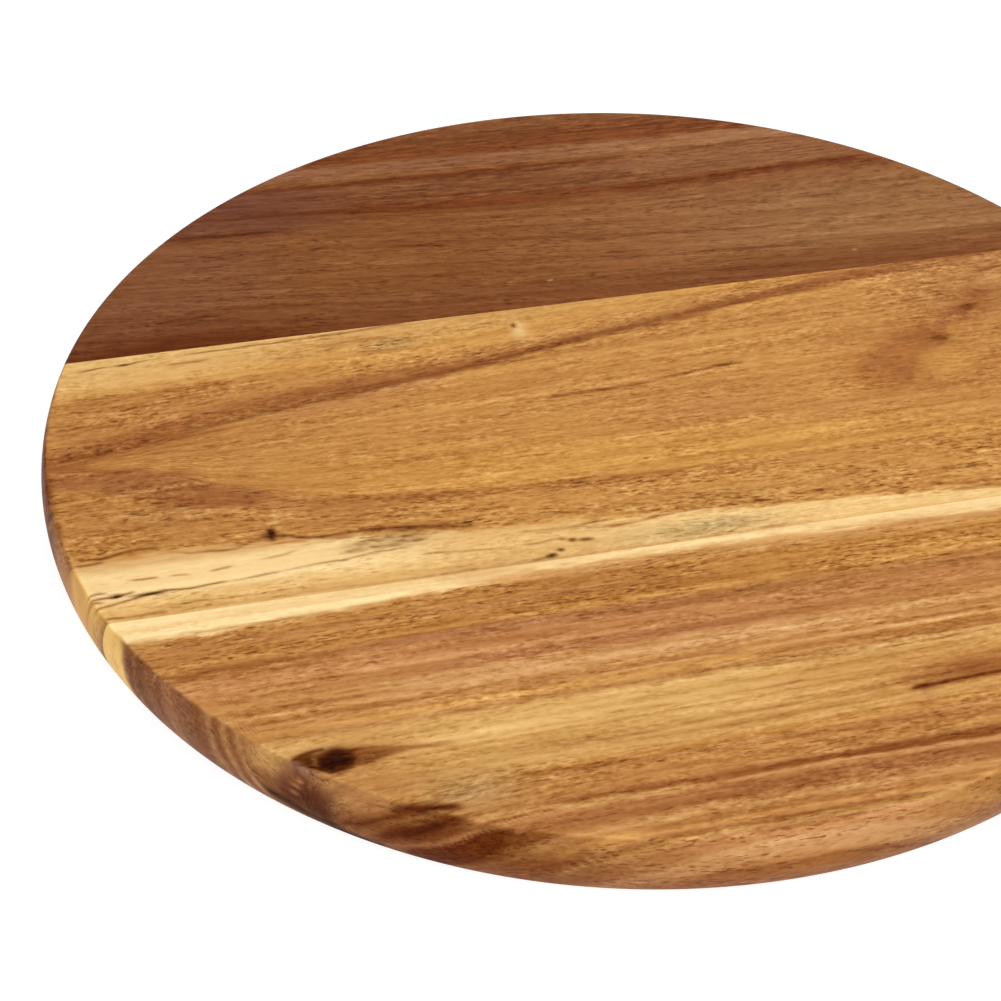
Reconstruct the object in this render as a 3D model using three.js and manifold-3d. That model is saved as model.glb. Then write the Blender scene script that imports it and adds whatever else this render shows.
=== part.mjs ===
// A round chopping board: three wooden staves, glued edge to edge and turned to a disc.
// Millimetres, +Z up. The origin is the centre of the underside, +X runs along the grain
// and +Y points to the dark stave at the back.

import * as THREE from 'three';
import { mergeVertices } from 'three/addons/utils/BufferGeometryUtils.js';
import Module from 'manifold-3d';

// Driving dimensions
const BOARD_DIAMETER = 300;
const BOARD_THICKNESS = 16;
const EDGE_BULGE = 1.8; // how far the side swells out at mid height
const ARRIS_RADIUS = 1.2; // rounding where the side meets the flat faces
const MIDDLE_STAVE_WIDTH = 102; // from glue line to glue line
const MIDDLE_STAVE_OFFSET = -8; // centre line of the middle stave, from the board's centre
const GLUE_THICKNESS = 0.2;

// Fineness of the facets
const RIM_SEGMENTS = 120;
const ARC_STEPS = 3;

// Cut planes across the grain, worked out from the driving dimensions
const MIDDLE_FRONT_FACE = MIDDLE_STAVE_OFFSET - MIDDLE_STAVE_WIDTH / 2;
const MIDDLE_BACK_FACE = MIDDLE_STAVE_OFFSET + MIDDLE_STAVE_WIDTH / 2;
const FRONT_STAVE_FACE = MIDDLE_FRONT_FACE - GLUE_THICKNESS;
const BACK_STAVE_FACE = MIDDLE_BACK_FACE + GLUE_THICKNESS;

// The pieces from front to back. Each ends at its back face, and the last one at the rim.
const PIECES = [
  { name: 'front_stave', backFace: FRONT_STAVE_FACE, colour: 0xb47a3c, roughness: 0.45 },
  { name: 'front_glue_line', backFace: MIDDLE_FRONT_FACE, colour: 0x9a7a45, roughness: 0.5 },
  { name: 'middle_stave', backFace: MIDDLE_BACK_FACE, colour: 0xc08a48, roughness: 0.45 },
  { name: 'back_glue_line', backFace: BACK_STAVE_FACE, colour: 0x6b4426, roughness: 0.5 },
  { name: 'back_stave', backFace: null, colour: 0x83502a, roughness: 0.45 },
];

const wasm = await Module();
wasm.setup();

// Closed solid of a geometry: shared corners merged, triangles without area left out.
function solidOf(geometry) {
  const bare = geometry.clone();
  bare.deleteAttribute('normal');
  bare.deleteAttribute('uv');
  const merged = mergeVertices(bare);
  const corners = merged.index.array;
  const triangles = [];
  for (let i = 0; i < corners.length; i += 3) {
    const [a, b, c] = corners.slice(i, i + 3);
    if (a !== b && b !== c && c !== a) triangles.push(a, b, c);
  }
  return new wasm.Manifold(new wasm.Mesh({
    numProp: 3,
    vertProperties: new Float32Array(merged.attributes.position.array),
    triVerts: new Uint32Array(triangles),
  }));
}

// Geometry of a solid, ready for a mesh.
function geometryOf(solid) {
  const { vertProperties, triVerts } = solid.getMesh();
  const geometry = new THREE.BufferGeometry();
  geometry.setAttribute('position', new THREE.BufferAttribute(vertProperties, 3));
  geometry.setIndex(new THREE.BufferAttribute(triVerts, 1));
  geometry.computeVertexNormals();
  return geometry;
}

// The turned disc. Its side is one shallow arc, whose chord is the thickness and whose rise is
// the bulge. A small arc that touches both the side and the flat face rounds each arris.
function turnedDisc() {
  const radius = BOARD_DIAMETER / 2;
  const halfThickness = BOARD_THICKNESS / 2;
  const sideRadius = (halfThickness ** 2 + EDGE_BULGE ** 2) / (2 * EDGE_BULGE);
  const sideCentre = radius - sideRadius;
  const rise = halfThickness - ARRIS_RADIUS;
  const reach = Math.sqrt((sideRadius - ARRIS_RADIUS) ** 2 - rise ** 2);
  const flatRadius = sideCentre + reach;
  const tangent = Math.atan2(rise, reach);
  const profile = new THREE.Path();
  profile.moveTo(0, 0);
  profile.lineTo(flatRadius, 0);
  profile.absarc(flatRadius, ARRIS_RADIUS, ARRIS_RADIUS, -Math.PI / 2, -tangent);
  profile.absarc(sideCentre, halfThickness, sideRadius, -tangent, tangent);
  profile.absarc(flatRadius, BOARD_THICKNESS - ARRIS_RADIUS, ARRIS_RADIUS, tangent, Math.PI / 2);
  profile.lineTo(0, BOARD_THICKNESS);
  const disc = new THREE.LatheGeometry(profile.getPoints(ARC_STEPS), RIM_SEGMENTS);
  disc.rotateX(Math.PI / 2);
  return disc;
}

// Everything behind a plane across the board, as a block that is larger than the board.
function spaceBehind(face) {
  const block = new THREE.BoxGeometry(2 * BOARD_DIAMETER, BOARD_DIAMETER, 2 * BOARD_THICKNESS);
  block.translate(0, face + BOARD_DIAMETER / 2, BOARD_THICKNESS / 2);
  return solidOf(block);
}

// The disc is cut from front to back, so two neighbours share one plane face to face.
const board = new THREE.Group();
board.name = 'chopping_board';
let remainder = solidOf(turnedDisc());
for (const { name, backFace, colour, roughness } of PIECES) {
  let solid = remainder;
  if (backFace !== null) {
    const behind = spaceBehind(backFace);
    solid = remainder.subtract(behind);
    remainder = remainder.intersect(behind);
  }
  const material = new THREE.MeshStandardMaterial({ color: colour, roughness, metalness: 0 });
  const piece = new THREE.Mesh(geometryOf(solid), material);
  piece.name = name;
  board.add(piece);
}

export default board;
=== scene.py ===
import math
from functools import partial

import bmesh
import bpy
import numpy as np
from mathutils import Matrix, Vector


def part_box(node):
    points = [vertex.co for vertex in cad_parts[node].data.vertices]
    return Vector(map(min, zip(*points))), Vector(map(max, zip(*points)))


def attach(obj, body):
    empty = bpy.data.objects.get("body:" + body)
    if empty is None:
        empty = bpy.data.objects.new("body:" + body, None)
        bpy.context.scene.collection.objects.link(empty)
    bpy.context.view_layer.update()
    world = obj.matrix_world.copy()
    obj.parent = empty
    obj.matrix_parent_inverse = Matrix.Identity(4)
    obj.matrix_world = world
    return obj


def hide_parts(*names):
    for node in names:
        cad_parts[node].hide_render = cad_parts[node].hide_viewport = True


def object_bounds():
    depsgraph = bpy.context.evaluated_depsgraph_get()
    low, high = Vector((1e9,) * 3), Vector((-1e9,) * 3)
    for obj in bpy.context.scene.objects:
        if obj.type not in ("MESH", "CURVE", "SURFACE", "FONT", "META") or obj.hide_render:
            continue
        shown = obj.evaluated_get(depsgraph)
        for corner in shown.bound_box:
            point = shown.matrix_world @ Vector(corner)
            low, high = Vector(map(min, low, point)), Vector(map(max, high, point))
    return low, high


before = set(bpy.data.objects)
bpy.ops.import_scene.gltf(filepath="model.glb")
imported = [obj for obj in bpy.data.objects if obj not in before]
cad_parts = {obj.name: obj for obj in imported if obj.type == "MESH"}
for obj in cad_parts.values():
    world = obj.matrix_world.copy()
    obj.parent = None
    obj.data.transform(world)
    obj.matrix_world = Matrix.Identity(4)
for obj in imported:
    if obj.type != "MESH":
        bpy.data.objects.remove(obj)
cad_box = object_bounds()

# A round chopping board of three staves, glued edge to edge, oiled and sanded to a satin finish.
# Lengths are millimetres: x along the grain, y towards the dark stave, z up from the underside.
# Colours are written as they look on a screen, from 0 to 255.

MM = 0.001

# Sizes of the board, read from the frame
THICKNESS = (cad_box[1].z - cad_box[0].z) / MM
RADIUS = (cad_box[1].x - cad_box[0].x) / 2 / MM
FRONT_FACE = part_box("front_stave")[1].y / MM
MIDDLE_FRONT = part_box("middle_stave")[0].y / MM
MIDDLE_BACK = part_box("middle_stave")[1].y / MM
BACK_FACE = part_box("back_stave")[0].y / MM

# The turned edge: one shallow swell, with a small rounding to each flat face
EDGE_BULGE = 1.8
ARRIS_RADIUS = 1.2
HALF = THICKNESS / 2
SWELL_RADIUS = (HALF**2 + EDGE_BULGE**2) / (2 * EDGE_BULGE)
SWELL_CENTRE = RADIUS - SWELL_RADIUS
ARRIS_RISE = HALF - ARRIS_RADIUS
ARRIS_REACH = math.sqrt((SWELL_RADIUS - ARRIS_RADIUS) ** 2 - ARRIS_RISE**2)
FLAT_RADIUS = SWELL_CENTRE + ARRIS_REACH
ARRIS_TURN = math.atan2(ARRIS_RISE, ARRIS_REACH)

# Fineness of the surfaces. Crowded places, as x, half length and weight, get closer columns.
ARRIS_STEPS = 7
SWELL_STEPS = 26
RIM_COLUMNS = 300
RIM_ROWS = 256
RIM_UNDER_ROWS = 24
SLAB_ROWS = 262
SLAB_COLUMNS = 262
SLAB_UNDER_COLUMNS = 24
GLUE_ROWS = 2
CROWD_STEPS = 2001
CROWDED_MIDDLE = [(-132, 13, 2.0), (-96.4, 4, 2.4), (-27, 9, 1.5), (28, 5, 0.8), (97, 12, 0.8)]
CROWDED_FRONT = [(-86, 20, 1.6), (-97, 6, 2.4), (42, 16, 0.6)]
CROWDED_BACK = []
TO_FRONT = -1
TO_BACK = 1
WELD = 1e-7
SHARP = math.radians(50)
RELIEF_MARGIN = 0.3

# The photograph's view: focal length and place of the board's face in an image of this width
IMAGE_WIDTH = 1001
FOCAL_PIXELS = 1889.4
FACE_PIXEL = (624.1, 392.55)
VIEW_ELEVATION = math.radians(40.411)
VIEW_TURN = math.radians(-12.03)
VIEW_DEPTH = 0.49116
SENSOR_WIDTH = 36.0
NEAR_CLIP = 0.01

# Light and floor
SKY_LIGHT = 0.5
KEY_LAMP = {"place": (0.55, -0.3, 1.3), "size": 1.2, "power": 13.4}
FILL_LAMP = {"place": (-1.1, -0.9, 0.55), "size": 1.0, "power": 9.0}
WHITE = (1, 1, 1, 1)
FLOOR_HALF = 4.0
FLOOR_DROP = 0.00005
FLOOR_BOUNCE = 0.75
FLOOR_SHADE = 0.24
FLOOR_GLOW = 0.88

# Colours of the wood, pale to dark
CREAM = (251, 214, 151)
STRAW = (236, 190, 119)
SAND = (219, 170, 101)
PEACH = (218, 163, 112)
WHEAT = (207, 155, 88)
FAWN = (206, 150, 92)
GOLD = (207, 148, 73)
HONEY = (198, 139, 71)
BISCUIT = (196, 134, 80)
AMBER = (188, 129, 64)
OLIVE = (168, 138, 88)
TOFFEE = (175, 116, 60)
ROSE = (176, 114, 72)
COPPER = (178, 111, 47)
TAN = (161, 108, 66)
RUST = (163, 102, 53)
MAUVE = (142, 100, 84)
CHESTNUT = (150, 88, 38)
DUSK = (136, 84, 53)
COCOA = (136, 81, 37)
WALNUT = (126, 73, 36)
PLUM = (112, 64, 44)
RUSSET = (120, 61, 22)
UMBER = (110, 56, 12)
BRICK = (97, 42, 9)
INK = (56, 24, 0)
MAROON = (62, 20, 5)
PITCH = (38, 14, 8)

# Places of the green in a colour and of the pores in a row of surface shares
GREEN = 1
PORES = 1

# Screen colours turn into light values by the usual curve: a straight start, then a power
SCREEN_TOP = 255.0
STRAIGHT_END = 0.04045
STRAIGHT_SLOPE = 12.92
CURVE_SHIFT = 0.055
CURVE_POWER = 2.4

# Finish
SATIN_GLOSS = 0.1
DULL_GLOSS = 0.016
DULL_BRIGHTNESS = 0.01
SATIN_BRIGHTNESS = 0.2
WOOD_ROUGHNESS = 0.46
GLUE_ROUGHNESS = 0.52
ROUGHER = 0.06
SMOOTHER = 0.04
MOTTLE_DEPTH = 0.5
SPECK_DEPTH = 0.46
FAINT_SPECKS = 0.16
FIBRE_DEPTH = 0.26
FLECK_DEPTH = 0.13
PORE_DEPTH = 0.36
BUMP_STRENGTH = 0.3
BUMP_DEPTH = 0.0003

# Cells of the wood's noises: length along the grain, width across it and fineness of detail
SHORT_MOTTLE = (4.4, 1.5, 2.0)
STRIPE_MOTTLE = (6.5, 1.5, 2.0)
LONG_MOTTLE = (7.0, 1.5, 2.0)
SPECKS = (1.7, 0.95, 1.0)
FIBRES = (30.0, 0.9, 3.0)
PITS = (3.2, 0.62, 1.0)
DRIFTS = (26.0, 5.0, 2.0)
GLINTS = (3.4, 0.65, 1.0)
NOISE_ROUGHNESS = 0.55
NOISE_MIDDLE = 0.5
FIBRE_SPAN = (0.3, 0.7)

# Spans of a noise and the shares that they turn into: from low to high, to low to high
PIT_SHARES = (0.57, 0.67, 0.0, 1.0)
PORE_DRIFTS = (0.36, 0.6, 0.2, 1.0)
LIVELY_DRIFTS = (0.3, 0.7, 0.35, 1.25)
LIGHT_FLECKS = (0.3, 0.42, 0.4, 0.0)
DARK_FLECKS = (0.58, 0.68, 0.0, 1.0)

# Chance numbers and changes of tone
COLUMN_TURN = 127.1
ROW_TURN = 311.7
SEED_TURN = 74.7
LARGE = 43758.5453
TONE_SHARES = np.array([0.67, 1.0, 1.6])
CLOSEST_GUIDES = 0.5


# Fields of numbers over the wood

def ramp(t):
    """S curve: 0 up to 0, 1 from 1 on, level at both ends."""
    t = np.clip(t, 0.0, 1.0)
    return t * t * (3.0 - 2.0 * t)


def lattice(column, row, seed):
    """A repeatable number from 0 to 1 for each place of a square grid: the fraction of a large sine."""
    large = np.sin(column * COLUMN_TURN + row * ROW_TURN + seed * SEED_TURN) * LARGE
    return large - np.floor(large)


def cloud(x, y, seed):
    """Smooth chance field from -1 to 1: the four grid numbers around a point, blended by S curves."""
    column, row = np.floor(x), np.floor(y)
    s, t = ramp(x - column), ramp(y - row)
    low = lattice(column, row, seed) * (1 - s) + lattice(column + 1, row, seed) * s
    high = lattice(column, row + 1, seed) * (1 - s) + lattice(column + 1, row + 1, seed) * s
    return (low * (1 - t) + high * t) * 2.0 - 1.0


def clouds(x, y, sizes, seed):
    """Sum of chance fields, each with its length, width and strength."""
    fields = enumerate(sizes, seed)
    return sum(amount * cloud(x / length, y / width, i) for i, (length, width, amount) in fields)


def curve(points, at):
    """Smooth line through points (x, y), read at x: cubic pieces whose slope at each point follows
    its neighbours, level beyond the ends."""
    px, py = np.array(points, float).T
    slope = np.gradient(py, px)
    at = np.clip(at, px[0], px[-1])
    i = np.clip(np.searchsorted(px, at) - 1, 0, len(px) - 2)
    width = px[i + 1] - px[i]
    t = (at - px[i]) / width
    s = ramp(t)
    bend = t * (1 - t) ** 2 * slope[i] - t * t * (1 - t) * slope[i + 1]
    return py[i] * (1 - s) + py[i + 1] * s + bend * width


def streak(x, y, route, above, below, fade):
    """Strength of a line along the grain: 1 on its route, falling off as a bell over the widths
    above and below it, and fading at both ends."""
    off = y - curve(route, x)
    across = np.exp(-np.square(off / np.where(off > 0, above, below)))
    return across * ramp((x - route[0][0]) / fade) * ramp((route[-1][0] - x) / fade)


def crack(x, y, route, above, below, fade):
    """Strength of a line that neither wavers nor breaks: the same bell along a route as a streak."""
    return streak(x, y, route, above, below, fade)


def ring_end(x, depth, top, foot, width):
    """Strength of a growth ring that the edge cuts across: 1 on a line that leaves the upper arris
    steeply at one x and leans to another x at the lower arris, falling off as a bell."""
    line = top + (foot - top) * np.square(depth / THICKNESS)
    return np.exp(-np.square((x - line) / width))


def spot(x, y, centre, half, power=2.0):
    """Strength of an oval mark: 1 at its centre, falling off past its half length and half width.
    A higher power gives a flatter middle and a crisper rim."""
    off = np.square((x - centre[0]) / half[0]) + np.square((y - centre[1]) / half[1])
    return np.exp(-np.power(off, power / 2))


def zone(x, y, low, high, soft, start, end, fade):
    """Strength of a stretch of wood between two routes and two ends: 1 inside, falling off over the
    soft width at the routes and over the fade at the ends."""
    inside = ramp((y - curve(low, x)) / soft + 0.5) * ramp((curve(high, x) - y) / soft + 0.5)
    return inside * ramp((x - start) / fade + 0.5) * ramp((end - x) / fade + 0.5)


def level(height):
    """A straight route along the whole board."""
    return [(-RADIUS, height), (RADIUS, height)]


def reading(x, y, guides):
    """Place of a point across the grain. Guide lines follow the figure, each keeping its height at
    mid board as its reading, and readings run evenly from one guide to the next."""
    lines = [curve(guide, x) for guide in guides]
    marks = [float(curve(guide, 0.0)) for guide in guides]
    value = marks[0] + np.minimum(y - lines[0], 0.0)
    for low, high, first, second in zip(lines, lines[1:], marks, marks[1:]):
        share = (y - low) / np.maximum(high - low, CLOSEST_GUIDES)
        value = value + np.clip(share, 0.0, 1.0) * (second - first)
    return value + np.maximum(y - lines[-1], 0.0)


def paint(values, over, strength):
    """Moves each row of values towards another row by its strength."""
    values += (np.array(over, float) - values) * strength[:, None]


def tone(colour, change):
    """Darkens and reddens, or lightens and yellows, each colour by its change."""
    colour *= 1.0 + change[:, None] * TONE_SHARES


def linear(colour):
    """Light values of screen colours."""
    share = np.clip(colour / SCREEN_TOP, 0.0, 1.0)
    power = ((share + CURVE_SHIFT) / (1 + CURVE_SHIFT)) ** CURVE_POWER
    return np.where(share <= STRAIGHT_END, share / STRAIGHT_SLOPE, power)


# The figure of a stave, as a maker would describe it, in millimetres on the board's upper face:
# seed, the number that its chance fields start from
# pith, the line that its growth rings go round, as y and height above the face
# guides, routes that the grain follows, from front to back
# follow, how far the fine growth lines keep to the guides
# tongues, how far one shade reaches into the next, in millimetres
# lines, how strong the growth lines are
# bands, shades by grain reading, from front to back
# zones and marks, stretches of other shades and single features, painted in turn
# surface, shares of texture and of open pores, with plain as the share elsewhere
# hollows, how far the wood is sunk
# edge, marks on the turned edge, by x and by depth below the face
# A zone or mark is its shade, its strength, its kind and the measures of that kind.

# The middle stave: a golden flame that opens to the right between two pale sapwood edges

FRONT_LINE = [(-150, -59), (150, -60.5)]
SAP_LINE = [
    (-150, -36.6), (-125, -37.2), (-97, -37.8), (-86, -39.4), (-75, -40.6), (-65, -42), (-55, -44.2),
    (-45, -45.4), (-35, -46), (-18, -47.2), (5, -49), (20, -50.6), (40, -52), (60, -54), (80, -56.6),
    (100, -58.2), (150, -59.6),
]
FLAME_LOWER = [
    (-150, -2), (-130, -5), (-120, -8), (-110, -13.6), (-100, -18.8), (-90, -22.5), (-80, -25.6),
    (-60, -29), (-20, -32.6), (40, -34), (150, -36),
]
FLAME_HEART = [(-150, -1.2), (-100, -1), (-20, 2), (28, 6), (150, 14)]
FLAME_UPPER = [
    (-150, -1.4), (-130, 2.4), (-110, 8.6), (-95, 11.9), (-80, 14.2), (-60, 17.2), (-40, 20.4),
    (-20, 24.4), (0, 28.2), (20, 31.8), (40, 35.4), (60, 38.8), (75, 41), (95, 43.4), (150, 50),
]
BACK_LINE = [(-150, 37.8), (-60, 42.6), (150, 54)]
CORE_DROP = 1.4
FLAME_CORE = [(x, y - CORE_DROP) for x, y in FLAME_UPPER[1:-2]]
BROWN_LOW = [(-150, 4), (-110, 12), (-80, 17)]
BROWN_HIGH = [(-150, 22), (-110, 26), (-80, 25)]
BACK_CRACK = [
    (-143, 38), (-133, 39), (-126, 39.4), (-120, 40.2), (-104, 40.7), (-84, 41), (-66, 41.8), (-50, 43),
]
SAP_CRACK = [
    (-141, -54.4), (-136.9, -53.7), (-132.3, -52.7), (-127.8, -51.7), (-123, -50.7), (-117, -51.2),
    (-112, -50.8), (-107, -50.5), (-98, -49.8), (-88, -49.2), (-76, -48.2), (-62, -47),
]
SAP_EDGE = [
    (-143, -36.5), (-139.5, -36.6), (-135.3, -36.8), (-130.2, -35.5), (-127.4, -35.3), (-122, -35.7),
]
SAP_BORDER = [
    (-107, -39.6), (-103.7, -39.2), (-101.2, -37.9), (-97.8, -37), (-95, -37), (-92, -38), (-88, -39.4),
    (-82.7, -39.6), (-74, -39.8), (-65, -40.4), (-58, -42), (-50, -43.2),
]
HEART_THREAD = [(-24, 2.2), (-14, 2.1), (-6, 2.4), (3, 2.7), (12, 4), (20, 5.2), (29, 6.2), (37, 6.8)]
SWIRL_BAND = [(62, -6), (70, 0), (78, 6), (86, 9), (91, 9.4), (96, 12.6), (102, 17), (107, 22), (113, 25)]
SWIRL_RIM = [
    (70, -14), (76, -10), (79.6, -3), (85, 0.6), (90, 3.6), (94, 11), (100, 14.6), (104, 17), (109, 21),
]
UNDER_FLAME = [
    (-150, -8), (-130, -14), (-120, -19), (-110, -23), (-100, -26), (-88, -28.4), (-70, -31), (150, -36),
]
OVER_FLAME = [(-150, 4), (-130, 9), (-110, 14.4), (-95, 17), (-80, 19), (-60, 21.4), (-40, 24), (150, 50)]
BORDER_SPECKS = [(-93.6, -37.8), (-89.4, -39), (-84.4, -40), (-71.4, -39.8), (-63, -40.8)]
STAIN_SPECKS = [
    (-79.2, -46.2), (-77, -45.8), (-75.8, -44.4), (-73.4, -43.2), (-71.6, -43.9), (-69.4, -43),
    (-66.6, -44.8), (-72.8, -46), (-64.4, -43.4), (-68, -46.4), (-62.6, -45.6),
]
SPLIT = ((-126, -51), (3.8, 0.6), 2.5)
VOID = ((-133.6, -50.3), (1.5, 0.7), 3.0)
PIN_KNOT = ((-96.4, -36.2), (1.3, 2.2), 3.0)
PIN_MARK = ((-21.7, 35.9), (0.75, 1.1), 3.0)
HEART_CORE = ((28.6, 6.2), (2.6, 0.6), 2.5)

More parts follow.
